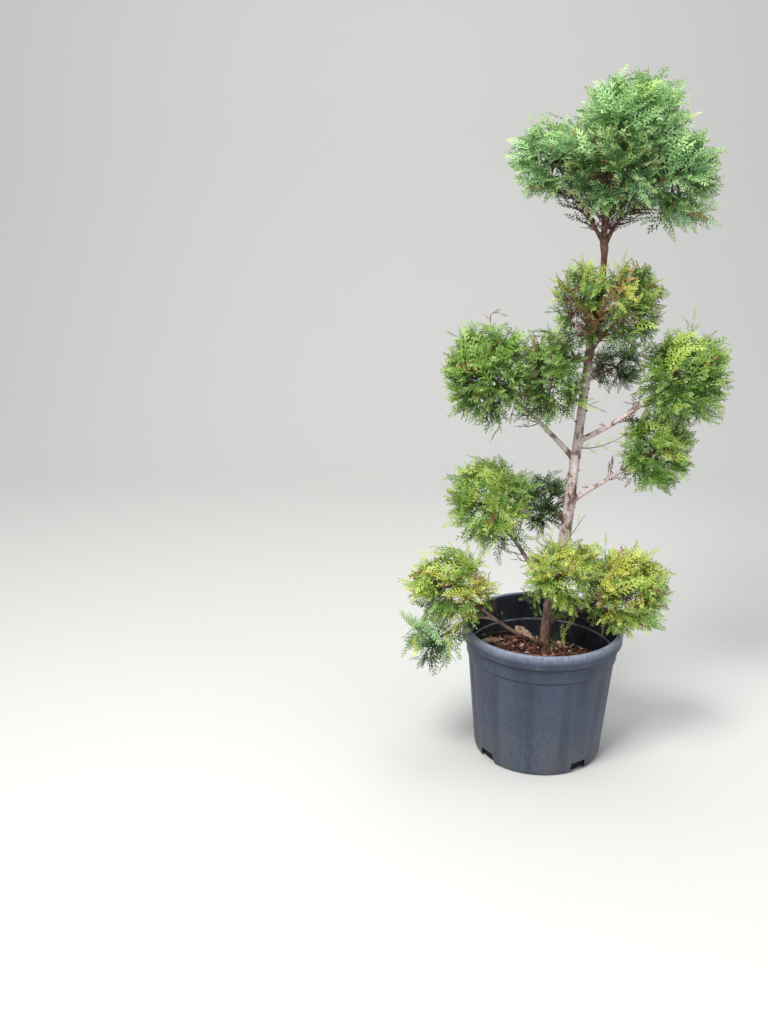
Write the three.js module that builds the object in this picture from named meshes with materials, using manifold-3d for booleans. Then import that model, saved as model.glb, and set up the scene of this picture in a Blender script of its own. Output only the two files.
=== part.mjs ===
// A small conifer clipped into separate tufts up a leaning trunk, growing in its round nursery pot.
// Millimetres, +Z up. Seen from the front, X runs to the right and Y to the back.
// The origin is the middle of the pot's flat underside.

import * as THREE from "three";
import { mergeVertices } from "three/addons/utils/BufferGeometryUtils.js";
import Module from "manifold-3d";

const wasm = await Module();
wasm.setup();

// Driving sizes of the pot
const GAP = 0.3;
const RIM_RADIUS = 160;
const POT_HEIGHT = 274;
const FOOT_RADIUS = 128.5;
const BODY_TOP_RADIUS = 146;
const WALL = 2.4;
const FLOOR = 3.2;
const LIP_HEIGHT = 28;
const BAND_HEIGHT = 32;
const STEP_OUT = 3.2;
const LIP_FOOT = POT_HEIGHT - LIP_HEIGHT;
const BAND_FOOT = LIP_FOOT - BAND_HEIGHT;
const BODY_FOOT = 9;
const POT_SIDES = 48;
const FLUTES = 12;
const FLUTE_DEPTH = 1.3;
const FLUTE_BACKING = 0.5;

// Drainage notches round the foot, at these bearings from the front in degrees
const NOTCH_BEARINGS = [-51, 40, 100, 190, 250];
const NOTCH_WIDTH = 21;
const NOTCH_TOP_WIDTH = 14;
const NOTCH_HEIGHT = 11;
const NOTCH_INNER_RADIUS = 112;
const NOTCH_OUTER_RADIUS = 136;

// The compost falls away to the right and the back, and is heaped a little round the trunk
const SOIL_LEVEL = 196;
const SOIL_FALL_RIGHT = 0.1;
const SOIL_FALL_BACK = 0.13;
const SOIL_HEAP = 5;
const SOIL_HEAP_SPREAD = 45;
const SOIL_RINGS = 4;
const SOIL_FOOT_INSET = 5;
const SOIL_INNER_SHARE = 0.02;

// The trunk: height, middle of its section, and radius, at a few stations
const TRUNK_FOOT = 194;
const TRUNK_TOP = 1022;
const TRUNK_STATIONS = [
  { z: TRUNK_FOOT, x: 15, y: 21, radius: 14.8 },
  { z: 243, x: 10.5, y: 21, radius: 13.8 },
  { z: 290, x: 16.5, y: 22, radius: 13 },
  { z: 447, x: 39, y: 25, radius: 11.4 },
  { z: 600, x: 51, y: 25, radius: 9.2 },
  { z: 820, x: 67, y: 25, radius: 7.7 },
  { z: 960, x: 82, y: 25, radius: 6.2 },
  { z: TRUNK_TOP, x: 80, y: 25, radius: 6 },
];
const FLARE = 4.5;
const FLARE_HEIGHT = 15;
const FLARE_LOBES = 3;
const FLARE_LOBE_DEPTH = 0.12;
const TRUNK_SIDES = 10;
const TRUNK_STEP = 34;

// Boughs and twigs
const BOUGH_SIDES = 6;
const BOUGH_STEP = 26;
const BOUGH_TAPER = 0.62;
const ENTRY_LEVEL = 0.84;
const TWIG_SIDES = 3;
const TWIG_ROOT_RADIUS = 2.4;
const TWIG_TIP_RADIUS = 1.3;
const TWIG_START = 0.25;
const TWIG_END = 0.7;
const TWIG_BEND = 0.1;
const TWIG_AREA = 800;
const CORE_LEVEL = 0.7;
const CORE_ROUGHNESS = 0.22;
const CORE_SEED = 100;
const STEM_KNEE = 0.25;

// Sprays of scale leaves, each a flat blade
const SPRAY_LENGTH = 0.78;
const SPRAY_WIDTH = 0.56;
const SPRAY_THICKNESS = 0.05;
const SPRAY_WIDEST = 0.45;
const SPRAY_SAMPLES = [0.25, SPRAY_WIDEST, 0.75, 1];
const SIDE_SPRAYS = [0.3, 0.75];
const SPRAY_TRIES = [1.1, 0.95, 0.8, 0.65, 0.5];
const SPRAY_SINK = 7;
const SIDE_LEAN = 0.75;
const SIDE_LEAN_SPREAD = 0.5;
const SIDE_LIFT = 0.6;
const REACH_SPREAD = 0.06;
const BEARING_SPREAD = 0.5;
const LENGTH_SPREAD = 0.3;
const GOLDEN_ANGLE = Math.PI * (3 - Math.sqrt(5));

// How far tufts keep off limbs and off each other
const LIMB_MARGIN = 2;
const FENCE_MARGIN = 0.5;
const FENCE_SHARE = 0.04;
const BEAD_STEP = 5;

const POT_FINISH = { color: "#3b4049", roughness: 0.62, metalness: 0 };
const COMPOST_FINISH = { color: "#4a2a1c", roughness: 0.95, metalness: 0 };
const BARK_FINISH = { color: "#77604f", roughness: 0.9, metalness: 0 };
const FOLIAGE_FINISH = { color: "#4f7a3c", roughness: 0.85, metalness: 0 };

// The tufts of foliage. Each has its middle, how far it reaches along X, Y and Z, the height on the
// trunk that its bough leaves from, a point the bough passes on its way, and the bough's radius where
// it leaves. Where a tuft has a parent, its bough leaves that tuft's bough, at a share of its length.
// Its twigs turn up at their ends, or down where turn is below 0.
const TUFTS = [
  {
    name: "head_left", at: [-20, -8, 1152], reach: [86, 78, 78],
    from: 1008, via: [42, 8, 1064], radius: 4.6,
  },
  {
    name: "head_top", at: [112, 0, 1216], reach: [106, 88, 90],
    from: TRUNK_TOP, via: [83, 17, 1098], radius: 5.4,
  },
  {
    name: "head_right", at: [192, -5, 1125], reach: [86, 80, 94],
    from: 1000, via: [114, 14, 1062], radius: 4.8,
  },
  {
    name: "head_front", at: [66, -82, 1138], reach: [92, 70, 82],
    from: 1012, via: [75, -12, 1066], radius: 4,
  },
  {
    name: "head_back", at: [104, 85, 1152], reach: [104, 76, 90],
    from: 1004, via: [88, 52, 1070], radius: 4.2,
  },
  {
    name: "collar_left", at: [38, -22, 906], reach: [62, 64, 88],
    from: 828, via: [63, 11, 848], radius: 3.6,
  },
  {
    name: "collar_right", at: [125, -22, 902], reach: [68, 64, 90],
    from: 810, via: [85, 8, 845], radius: 4,
  },
  {
    name: "left_outer", at: [-125, -30, 780], reach: [92, 80, 104],
    from: 603, via: [-8, 0, 668], radius: 5.6,
  },
  {
    name: "left_inner", at: [-6, -12, 778], reach: [76, 68, 96],
    from: 800, via: [38, 8, 806], radius: 4,
  },
  {
    name: "right", at: [234, -10, 770], reach: [96, 84, 102],
    from: 640, via: [118, 8, 682], radius: 5.6,
  },
  {
    name: "right_low", at: [203, 22, 622], reach: [82, 74, 92],
    from: 520, via: [100, 26, 554], radius: 4.6,
  },
  {
    name: "back", at: [130, 82, 773], reach: [60, 60, 56],
    from: 752, via: [86, 52, 762], radius: 3.2,
  },
  {
    name: "mid_left", at: [-112, 20, 517], reach: [92, 82, 98],
    from: 300, via: [-24, 20, 386], radius: 5.6,
  },
  {
    name: "mid_back", at: [10, 90, 494], reach: [64, 64, 70],
    from: 452, via: [37, 46, 472], radius: 3.6,
  },
  {
    name: "low_front", at: [30, -62, 402], reach: [88, 70, 80],
    from: 318, via: [18, -14, 350], radius: 4,
  },
  {
    name: "low_right", at: [146, -60, 366], reach: [94, 80, 96],
    from: 262, via: [54, -16, 304], radius: 5,
  },
  {
    name: "low_left", at: [-184, -60, 374], reach: [96, 82, 86],
    from: 214, via: [-62, -30, 268], radius: 6.2,
  },
  {
    name: "low_droop", at: [-220, -70, 268], reach: [60, 52, 72],
    parent: "low_left", from: 0.78, via: [-148, -54, 306], radius: 3.4, turn: -1,
  },
];

// The same repeatable row of numbers from 0 to 1 each time, from one whole number
function seeded(seed) {
  let state = seed >>> 0;
  return () => {
    state = (state + 0x6d2b79f5) >>> 0;
    let mixed = Math.imul(state ^ (state >>> 15), state | 1);
    mixed ^= mixed + Math.imul(mixed ^ (mixed >>> 7), mixed | 61);
    return ((mixed ^ (mixed >>> 14)) >>> 0) / 2 ** 32;
  };
}

function toSolid(geometry, tolerance = 1e-4) {
  const bare = geometry.clone();
  bare.deleteAttribute("normal");
  bare.deleteAttribute("uv");
  const merged = mergeVertices(bare, tolerance);
  const faces = [];
  for (let start = 0; start < merged.index.count; start += 3) {
    const corners = [0, 1, 2].map((corner) => merged.index.getX(start + corner));
    if (new Set(corners).size === 3) faces.push(...corners);
  }
  return new wasm.Manifold(new wasm.Mesh({
    numProp: 3,
    vertProperties: new Float32Array(merged.attributes.position.array),
    triVerts: new Uint32Array(faces),
  }));
}

function toGeometry(solid) {
  const { vertProperties, triVerts } = solid.getMesh();
  const geometry = new THREE.BufferGeometry();
  geometry.setAttribute("position", new THREE.Float32BufferAttribute(vertProperties, 3));
  geometry.setIndex(Array.from(triVerts));
  return geometry;
}

// The largest closed body of a solid: loose scraps go, and sealed hollows are filled
function mainBody(solid) {
  const bodies = solid.decompose();
  return bodies.reduce((best, body) => (body.volume() > best.volume() ? body : best));
}

// Whether a solid is one closed body still, with two faces on each edge, once points that lie
// within a thousandth of a millimetre are one point
function isSound(solid) {
  let welded;
  try {
    welded = toSolid(toGeometry(solid), 1e-3);
  } catch {
    return false;
  }
  const faces = welded.getMesh().triVerts;
  const edges = new Map();
  for (let start = 0; start < faces.length; start += 3) {
    for (let corner = 0; corner < 3; corner += 1) {
      const from = faces[start + corner];
      const to = faces[start + (corner + 1) % 3];
      const key = from < to ? `${from} ${to}` : `${to} ${from}`;
      edges.set(key, (edges.get(key) ?? 0) + 1);
    }
  }
  return welded.decompose().length === 1 && [...edges.values()].every((count) => count === 2);
}

function toMesh(name, solid, finish) {
  const geometry = toGeometry(mainBody(solid));
  geometry.computeVertexNormals();
  const mesh = new THREE.Mesh(geometry, new THREE.MeshStandardMaterial(finish));
  mesh.name = name;
  return mesh;
}

// A closed skin over rings of points, each ring with the same number of points
function skinOfRings(rings) {
  const count = rings[0].length;
  const positions = rings.flat().flatMap((point) => point.toArray());
  const faces = [];
  for (let ring = 0; ring < rings.length - 1; ring += 1) {
    for (let side = 0; side < count; side += 1) {
      const a = ring * count + side;
      const b = ring * count + (side + 1) % count;
      faces.push(a, b, b + count, a, b + count, a + count);
    }
  }
  const last = (rings.length - 1) * count;
  for (let side = 1; side < count - 1; side += 1) {
    faces.push(0, side + 1, side);
    faces.push(last, last + side, last + side + 1);
  }
  const geometry = new THREE.BufferGeometry();
  geometry.setAttribute("position", new THREE.Float32BufferAttribute(positions, 3));
  geometry.setIndex(faces);
  return geometry;
}

// A round limb along a curve, its radius given for each share of its length
function limb(curve, radiusAt, steps, sides) {
  const frames = curve.computeFrenetFrames(steps, false);
  const rings = [];
  for (let step = 0; step <= steps; step += 1) {
    const share = step / steps;
    const middle = curve.getPointAt(share);
    const radius = radiusAt(share);
    const ring = [];
    for (let side = 0; side < sides; side += 1) {
      const angle = (2 * Math.PI * side) / sides;
      ring.push(middle.clone()
        .addScaledVector(frames.normals[step], radius * Math.cos(angle))
        .addScaledVector(frames.binormals[step], radius * Math.sin(angle)));
    }
    rings.push(ring);
  }
  return skinOfRings(rings);
}

// The pot: one turned skin with a rolled lip, a plain band, and shallow upright flutes on its body
function innerRadius(z) {
  const share = (z - BODY_FOOT) / (BAND_FOOT - BODY_FOOT);
  return THREE.MathUtils.lerp(FOOT_RADIUS, BODY_TOP_RADIUS, share) - WALL - FLUTE_BACKING;
}

function potSkin() {
  const outline = [
    [0, 0],
    [FOOT_RADIUS - 4, 0],
    [FOOT_RADIUS - 1.2, 3],
    [FOOT_RADIUS, BODY_FOOT],
    [BODY_TOP_RADIUS, BAND_FOOT - 3],
    [BODY_TOP_RADIUS + STEP_OUT, BAND_FOOT],
    [BODY_TOP_RADIUS + STEP_OUT + 2, LIP_FOOT],
    [RIM_RADIUS - 2, LIP_FOOT + 1],
    [RIM_RADIUS - 0.2, LIP_FOOT + 4],
    [RIM_RADIUS, POT_HEIGHT - 10],
    [RIM_RADIUS - 2, POT_HEIGHT - 3],
    [RIM_RADIUS - 6, POT_HEIGHT],
    [RIM_RADIUS - 10, POT_HEIGHT - 2],
    [RIM_RADIUS - 11.5, POT_HEIGHT - 9],
    [innerRadius(BAND_FOOT) + STEP_OUT, BAND_FOOT + 4],
    [innerRadius(BAND_FOOT), BAND_FOOT],
    [innerRadius(BODY_FOOT), BODY_FOOT],
    [innerRadius(BODY_FOOT) - 4, FLOOR],
    [0, FLOOR],
  ].map(([radius, z]) => new THREE.Vector2(radius, z));
  const skin = new THREE.LatheGeometry(outline, POT_SIDES);
  skin.rotateX(Math.PI / 2);
  const place = skin.attributes.position;
  for (let index = 0; index < place.count; index += 1) {
    const x = place.getX(index);
    const y = place.getY(index);
    const z = place.getZ(index);
    const radius = Math.hypot(x, y);
    const onBody = z > BODY_FOOT - 1 && z < BAND_FOOT - 1 && radius > innerRadius(z) + 1;
    if (onBody) {
      const inward = FLUTE_DEPTH * (0.5 - 0.5 * Math.cos(FLUTES * Math.atan2(y, x)));
      place.setXY(index, x * (1 - inward / radius), y * (1 - inward / radius));
    }
  }
  return skin;
}

function notchCutter(bearing) {
  const outline = new THREE.Shape([
    new THREE.Vector2(-NOTCH_WIDTH / 2, -1),
    new THREE.Vector2(NOTCH_WIDTH / 2, -1),
    new THREE.Vector2(NOTCH_TOP_WIDTH / 2, NOTCH_HEIGHT),
    new THREE.Vector2(-NOTCH_TOP_WIDTH / 2, NOTCH_HEIGHT),
  ]);
  const depth = NOTCH_OUTER_RADIUS - NOTCH_INNER_RADIUS;
  const cutter = new THREE.ExtrudeGeometry(outline, { depth, bevelEnabled: false });
  cutter.rotateX(Math.PI / 2);
  cutter.translate(0, -NOTCH_INNER_RADIUS, 0);
  cutter.rotateZ(THREE.MathUtils.degToRad(bearing));
  return toSolid(cutter);
}

function makePot() {
  const whole = toSolid(potSkin());
  const cut = (solid, bearing) => solid.subtract(notchCutter(bearing));
  const notched = NOTCH_BEARINGS.reduce(cut, whole);
  return toMesh("pot", notched, POT_FINISH);
}

// The trunk, measured on level sections so that its foot is a flat cut
function trunkAt(z) {
  const last = TRUNK_STATIONS.length - 1;
  let low = 0;
  while (low < last - 1 && z > TRUNK_STATIONS[low + 1].z) low += 1;
  const from = TRUNK_STATIONS[low];
  const to = TRUNK_STATIONS[low + 1];
  const span = to.z - from.z;
  const share = (z - from.z) / span;
  const smooth = (key) => {
    const slope = (index) => {
      const before = TRUNK_STATIONS[Math.max(index - 1, 0)];
      const after = TRUNK_STATIONS[Math.min(index + 1, last)];
      return (after[key] - before[key]) / (after.z - before.z);
    };
    const squared = share * share;
    const cubed = squared * share;
    return from[key] * (2 * cubed - 3 * squared + 1)
      + slope(low) * span * (cubed - 2 * squared + share)
      + to[key] * (3 * squared - 2 * cubed)
      + slope(low + 1) * span * (cubed - squared);
  };
  return { middle: new THREE.Vector3(smooth("x"), smooth("y"), z), radius: smooth("radius") };
}

function trunkSkin(extra) {
  const steps = Math.round((TRUNK_TOP - TRUNK_FOOT) / TRUNK_STEP);
  const heights = [TRUNK_FOOT - extra, TRUNK_FOOT + FLARE_HEIGHT * 0.5, TRUNK_FOOT + FLARE_HEIGHT];
  for (let step = 1; step < steps; step += 1) heights.push(TRUNK_FOOT + step * TRUNK_STEP);
  heights.push(TRUNK_TOP + extra);
  const rings = heights.map((z) => {
    const { middle, radius } = trunkAt(z);
    const spread = FLARE * Math.exp(-Math.max(z - TRUNK_FOOT, 0) / FLARE_HEIGHT);
    return Array.from({ length: TRUNK_SIDES }, (_, side) => {
      const angle = (2 * Math.PI * side) / TRUNK_SIDES;
      const lobe = 1 + FLARE_LOBE_DEPTH * (spread / FLARE) * Math.cos(FLARE_LOBES * angle + 1);
      const reach = (radius + spread) * lobe + extra;
      const outward = new THREE.Vector3(Math.cos(angle), Math.sin(angle), 0);
      return middle.clone().addScaledVector(outward, reach).setZ(z);
    });
  });
  return skinOfRings(rings);
}

// The compost, 0.3 mm clear of the pot, with a shallow pocket for the trunk's foot
function soilHeight(x, y) {
  const { middle } = trunkAt(TRUNK_FOOT);
  const away = Math.hypot(x - middle.x, y - middle.y);
  const heap = SOIL_HEAP * Math.exp(-((away / SOIL_HEAP_SPREAD) ** 2));
  return SOIL_LEVEL - SOIL_FALL_RIGHT * x - SOIL_FALL_BACK * y + heap;
}

function makeSoil() {
  const bottom = FLOOR + GAP;
  const circle = (radiusAt, heightAt) => Array.from({ length: POT_SIDES }, (_, side) => {
    const angle = (2 * Math.PI * side) / POT_SIDES;
    const radius = radiusAt(angle);
    const x = radius * Math.cos(angle);
    const y = radius * Math.sin(angle);
    return new THREE.Vector3(x, y, heightAt(x, y));
  });
  const edge = (angle) => {
    const guess = innerRadius(SOIL_LEVEL);
    return innerRadius(soilHeight(guess * Math.cos(angle), guess * Math.sin(angle))) - 2 * GAP;
  };
  const rings = [circle(() => innerRadius(BODY_FOOT) - SOIL_FOOT_INSET, () => bottom)];
  for (let ring = 0; ring < SOIL_RINGS; ring += 1) {
    const share = Math.max(1 - ring / (SOIL_RINGS - 1), SOIL_INNER_SHARE);
    rings.push(circle((angle) => edge(angle) * share, soilHeight));
  }
  const pocket = toSolid(trunkSkin(GAP));
  return toMesh("compost", toSolid(skinOfRings(rings)).subtract(pocket), COMPOST_FINISH);
}

// Tufts: where each bough runs, and the space that each tuft keeps to
function level(tuft, point) {
  return point.clone().sub(tuft.middle).divide(tuft.radii).length();
}

function reachAlong(tuft, direction) {
  return 1 / direction.clone().divide(tuft.radii).length();
}

// A bough's curve, bent once so that it passes through a point on its way
function curveThrough(root, via, tip) {
  const before = via.distanceTo(root);
  const share = before / (before + tip.distanceTo(via));
  const bend = via.clone()
    .addScaledVector(root, -((1 - share) ** 2))
    .addScaledVector(tip, -(share ** 2))
    .divideScalar(2 * share * (1 - share));
  return new THREE.QuadraticBezierCurve3(root, bend, tip);
}

function planTufts() {
  const plans = TUFTS.map((tuft, index) => ({
    ...tuft,
    turn: tuft.turn ?? 1,
    seed: index + 1,
    middle: new THREE.Vector3(...tuft.at),
    radii: new THREE.Vector3(...tuft.reach),
  }));
  for (const plan of plans) {
    const parent = plans.find((other) => other.name === plan.parent);
    const root = parent ? parent.curve.getPoint(plan.from) : trunkAt(plan.from).middle;
    const via = new THREE.Vector3(...plan.via);
    const inward = via.clone().sub(plan.middle).normalize();
    const tip = plan.middle.clone().addScaledVector(inward, ENTRY_LEVEL * reachAlong(plan, inward));
    plan.curve = curveThrough(root, via, tip);
    plan.tipRadius = plan.radius * BOUGH_TAPER;
    plan.size = (plan.radii.x + plan.radii.y + plan.radii.z) / 3;
    plan.twigs = Math.round(plan.size ** 2 / TWIG_AREA);
  }
  for (const plan of plans) {
    plan.fences = plans.filter((other) => other !== plan).map((other) => {
      const normal = other.middle.clone().sub(plan.middle);
      const distance = normal.length();
      normal.normalize();
      const mine = reachAlong(plan, normal);
      const theirs = reachAlong(other, normal);
      const offset = (distance * mine) / (mine + theirs) - FENCE_MARGIN;
      return { normal, limit: normal.dot(plan.middle) + offset };
    });
  }
  return plans;
}

function inOwnSpace(plan, point) {
  const overPot = point.z > POT_HEIGHT + LIMB_MARGIN;
  const outsidePot = Math.hypot(point.x, point.y) > RIM_RADIUS + LIMB_MARGIN;
  return (overPot || outsidePot)
    && level(plan, point) <= 1
    && plan.fences.every((fence) => fence.normal.dot(point) <= fence.limit);
}

// Points and radii along every limb, for keeping twigs and sprays off them
function limbBeads(plans) {
  const beads = [];
  for (let z = TRUNK_FOOT; z <= TRUNK_TOP; z += BEAD_STEP) beads.push(trunkAt(z));
  for (const plan of plans) {
    const steps = Math.ceil(plan.curve.getLength() / BEAD_STEP);
    for (let step = 0; step <= steps; step += 1) {
      const radius = THREE.MathUtils.lerp(plan.radius, plan.tipRadius, step / steps);
      beads.push({ middle: plan.curve.getPoint(step / steps), radius });
    }
  }
  return beads;
}

function touchesLimb(beads, point) {
  return beads.some((bead) => bead.middle.distanceTo(point) < bead.radius + LIMB_MARGIN);
}

// How far out a tuft reaches along a spoke before it meets its fence with a neighbour
function shareToFence(plan, spoke) {
  const shares = plan.fences.map(({ normal, limit }) => {
    const along = normal.dot(spoke);
    return along > 0 ? (limit - normal.dot(plan.middle)) / along : Infinity;
  });
  return Math.min(...shares);
}

// A flat spray from its root along a heading, as long as its tuft has room for, or none
function fitSpray(plan, beads, root, heading, across, wanted) {
  const side = across.clone().addScaledVector(heading, -across.dot(heading)).normalize();
  const fits = (length) => SPRAY_SAMPLES.every((share) => {
    const taper = Math.min(share / SPRAY_WIDEST, (1 - share) / (1 - SPRAY_WIDEST));
    return [-1, 0, 1].every((hand) => {
      const point = root.clone()
        .addScaledVector(heading, share * length)
        .addScaledVector(side, hand * taper * 0.5 * SPRAY_WIDTH * length);
      return inOwnSpace(plan, point) && !touchesLimb(beads, point);
    });
  });
  const length = SPRAY_TRIES.map((scale) => scale * wanted).find(fits);
  return length ? { root, heading, side, length } : null;
}

// One twig: a stalk inside the tuft, with a spray at its end that turns up or down a little, and
// others to its left and right
function growTwig(plan, beads, draw, bearing, height) {
  const flat = Math.sqrt(1 - height * height);
  const spoke = new THREE.Vector3(flat * Math.cos(bearing), flat * Math.sin(bearing), height)
    .multiply(plan.radii);
  const reach = Math.min(1 - REACH_SPREAD * draw(), shareToFence(plan, spoke) - FENCE_SHARE);
  const far = plan.middle.clone().addScaledVector(spoke, reach);
  const root = plan.middle.clone().addScaledVector(spoke, TWIG_START * reach);
  const bend = root.clone().lerp(far, 0.5);
  bend.z -= plan.turn * TWIG_BEND * far.distanceTo(root);
  const tip = root.clone().lerp(bend, TWIG_END);
  const heading = far.clone().sub(bend).normalize();
  const roll = Math.PI * draw();
  const across = new THREE.Vector3(Math.cos(roll), Math.sin(roll), draw() - 0.5);
  across.addScaledVector(heading, -across.dot(heading)).normalize();
  const sunk = tip.clone().addScaledVector(heading, -SPRAY_SINK);
  const sprays = [fitSpray(plan, beads, sunk, heading, across, far.distanceTo(sunk))];
  const wanted = SPRAY_LENGTH * plan.size * (1 + LENGTH_SPREAD * (draw() - 0.5));
  SIDE_SPRAYS.forEach((share, order) => {
    const hand = order % 2 === 0 ? 1 : -1;
    const lean = SIDE_LEAN + SIDE_LEAN_SPREAD * draw();
    const lift = SIDE_LIFT * (draw() - 0.5);
    const along = heading.clone()
      .addScaledVector(across, hand * lean)
      .addScaledVector(heading.clone().cross(across), lift)
      .normalize();
    sprays.push(fitSpray(plan, beads, root.clone().lerp(tip, share), along, across, wanted));
  });
  return { root, tip, sprays: sprays.filter(Boolean) };
}

// A tuft's twigs, spread evenly over a ball of directions
function growTuft(plan, beads) {
  const draw = seeded(plan.seed);
  const twigs = [];
  for (let index = 0; index < plan.twigs; index += 1) {
    const bearing = index * GOLDEN_ANGLE + BEARING_SPREAD * draw();
    const twig = growTwig(plan, beads, draw, bearing, 1 - (2 * index + 1) / plan.twigs);
    if (twig.sprays.length > 0) twigs.push(twig);
  }
  return twigs;
}

// A spray's blade: a flat eight-faced solid, widest below its middle and thickest there
function bladeSkin({ root, heading, side, length }) {
  const upright = heading.clone().cross(side);
  const tip = root.clone().addScaledVector(heading, length);
  const middle = root.clone().addScaledVector(heading, SPRAY_WIDEST * length);
  const halfWidth = 0.5 * SPRAY_WIDTH * length;
  const halfThickness = 0.5 * SPRAY_THICKNESS * length;
  const corners = [
    root,
    tip,
    middle.clone().addScaledVector(side, halfWidth),
    middle.clone().addScaledVector(upright, halfThickness),
    middle.clone().addScaledVector(side, -halfWidth),
    middle.clone().addScaledVector(upright, -halfThickness),
  ];
  const faces = [];
  for (let turn = 0; turn < 4; turn += 1) {
    const here = 2 + turn;
    const next = 2 + (turn + 1) % 4;
    faces.push(0, next, here, 1, here, next);
  }
  const positions = corners.flatMap((corner) => corner.toArray());
  const geometry = new THREE.BufferGeometry();
  geometry.setAttribute("position", new THREE.Float32BufferAttribute(positions, 3));
  geometry.setIndex(faces);
  return geometry;
}

// The dense heart of a tuft, a rough twenty-faced ball
function coreSkin(plan) {
  const draw = seeded(plan.seed + CORE_SEED);
  const ball = new THREE.IcosahedronGeometry(1, 0);
  ball.deleteAttribute("normal");
  ball.deleteAttribute("uv");
  const core = mergeVertices(ball);
  const place = core.attributes.position;
  for (let index = 0; index < place.count; index += 1) {
    const spoke = new THREE.Vector3().fromBufferAttribute(place, index).multiply(plan.radii);
    const share = Math.min(CORE_LEVEL * (1 - CORE_ROUGHNESS * draw()), shareToFence(plan, spoke));
    const point = plan.middle.clone().addScaledVector(spoke, share);
    place.setXYZ(index, point.x, point.y, point.z);
  }
  return core;
}

function boughSkin(plan, extra) {
  const radiusAt = (share) => THREE.MathUtils.lerp(plan.radius, plan.tipRadius, share) + extra;
  const steps = Math.max(3, Math.round(plan.curve.getLength() / BOUGH_STEP));
  return limb(plan.curve, radiusAt, steps, BOUGH_SIDES);
}

// The tuft's own stem goes on from the bough's tip into the core
function stemSkin(plan) {
  const tip = plan.curve.getPoint(1);
  const heading = plan.curve.getTangent(1);
  const root = tip.clone().addScaledVector(heading, GAP);
  const knee = tip.clone().addScaledVector(heading, STEM_KNEE * tip.distanceTo(plan.middle));
  const curve = new THREE.QuadraticBezierCurve3(root, knee, plan.middle.clone());
  return limb(curve, () => plan.tipRadius, 3, TWIG_SIDES);
}

// A bough, cut clear of the trunk and of the boughs made before it
function makeBough(plan, limbs) {
  const cut = limbs.reduce((solid, other) => solid.subtract(other), toSolid(boughSkin(plan, 0)));
  return toMesh(`bough_${plan.name}`, cut, BARK_FINISH);
}

// A tuft: its core and stem, then each twig and spray that joins them cleanly
function makeTuft(plan, beads, limbs) {
  const twigRadius = (share) => THREE.MathUtils.lerp(TWIG_ROOT_RADIUS, TWIG_TIP_RADIUS, share);
  let solid = toSolid(coreSkin(plan)).add(toSolid(stemSkin(plan)));
  for (const other of limbs) solid = solid.subtract(other);
  for (const twig of growTuft(plan, beads)) {
    const line = new THREE.LineCurve3(twig.root, twig.tip);
    const stalk = toSolid(limb(line, twigRadius, 1, TWIG_SIDES));
    const blades = twig.sprays.map((spray) => toSolid(bladeSkin(spray)));
    for (const piece of [stalk, ...blades]) {
      const clear = limbs.reduce((cut, other) => cut.subtract(other), piece);
      const joined = mainBody(solid.add(clear));
      if (isSound(joined)) solid = joined;
    }
  }
  return toMesh(`foliage_${plan.name}`, solid, FOLIAGE_FINISH);
}

const plans = planTufts();
const beads = limbBeads(plans);
const fatTrunk = toSolid(trunkSkin(GAP));
const fatBoughs = plans.map((plan) => toSolid(boughSkin(plan, GAP)));

const planted = new THREE.Group();
planted.add(toMesh("trunk", toSolid(trunkSkin(0)), BARK_FINISH));
plans.forEach((plan, index) => {
  planted.add(makeBough(plan, [fatTrunk, ...fatBoughs.slice(0, index)]));
  planted.add(makeTuft(plan, beads, [fatTrunk, ...fatBoughs]));
});

const topiary = new THREE.Group();
topiary.add(makePot(), makeSoil(), planted);

export default topiary;
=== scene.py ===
# %% [markdown]
# A small conifer clipped into separate tufts, growing in its round nursery pot. A tree like this is
# thousands of small parts: flat feathery sprays on twigs, twigs on boughs, boughs on one leaning trunk.
# Modelling each by hand would never end, so every part here grows from a rule and a few named sizes.
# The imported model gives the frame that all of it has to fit.

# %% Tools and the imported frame
import math
import random

import bpy
import numpy as np
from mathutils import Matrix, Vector, noise


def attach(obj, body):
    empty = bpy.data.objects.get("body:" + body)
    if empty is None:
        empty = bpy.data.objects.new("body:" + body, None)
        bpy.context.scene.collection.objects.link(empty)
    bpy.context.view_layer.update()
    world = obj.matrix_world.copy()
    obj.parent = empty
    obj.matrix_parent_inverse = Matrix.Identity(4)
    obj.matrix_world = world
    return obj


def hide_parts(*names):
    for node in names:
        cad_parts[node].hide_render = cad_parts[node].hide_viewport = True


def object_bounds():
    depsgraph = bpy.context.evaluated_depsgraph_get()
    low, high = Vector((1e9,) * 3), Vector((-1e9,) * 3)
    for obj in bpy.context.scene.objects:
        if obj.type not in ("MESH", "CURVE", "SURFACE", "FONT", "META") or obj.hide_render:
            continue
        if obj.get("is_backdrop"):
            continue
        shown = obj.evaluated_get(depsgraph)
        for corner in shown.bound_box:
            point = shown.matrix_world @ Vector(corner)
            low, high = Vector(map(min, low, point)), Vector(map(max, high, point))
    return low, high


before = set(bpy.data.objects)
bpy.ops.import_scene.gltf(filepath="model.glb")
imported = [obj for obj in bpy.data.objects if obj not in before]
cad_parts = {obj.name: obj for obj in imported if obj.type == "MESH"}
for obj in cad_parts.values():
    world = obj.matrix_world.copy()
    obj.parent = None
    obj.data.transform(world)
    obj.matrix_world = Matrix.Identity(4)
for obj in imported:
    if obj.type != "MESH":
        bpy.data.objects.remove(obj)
CAD_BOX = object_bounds()
MM = 0.001
print("solids in the frame:", len(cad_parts))
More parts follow.
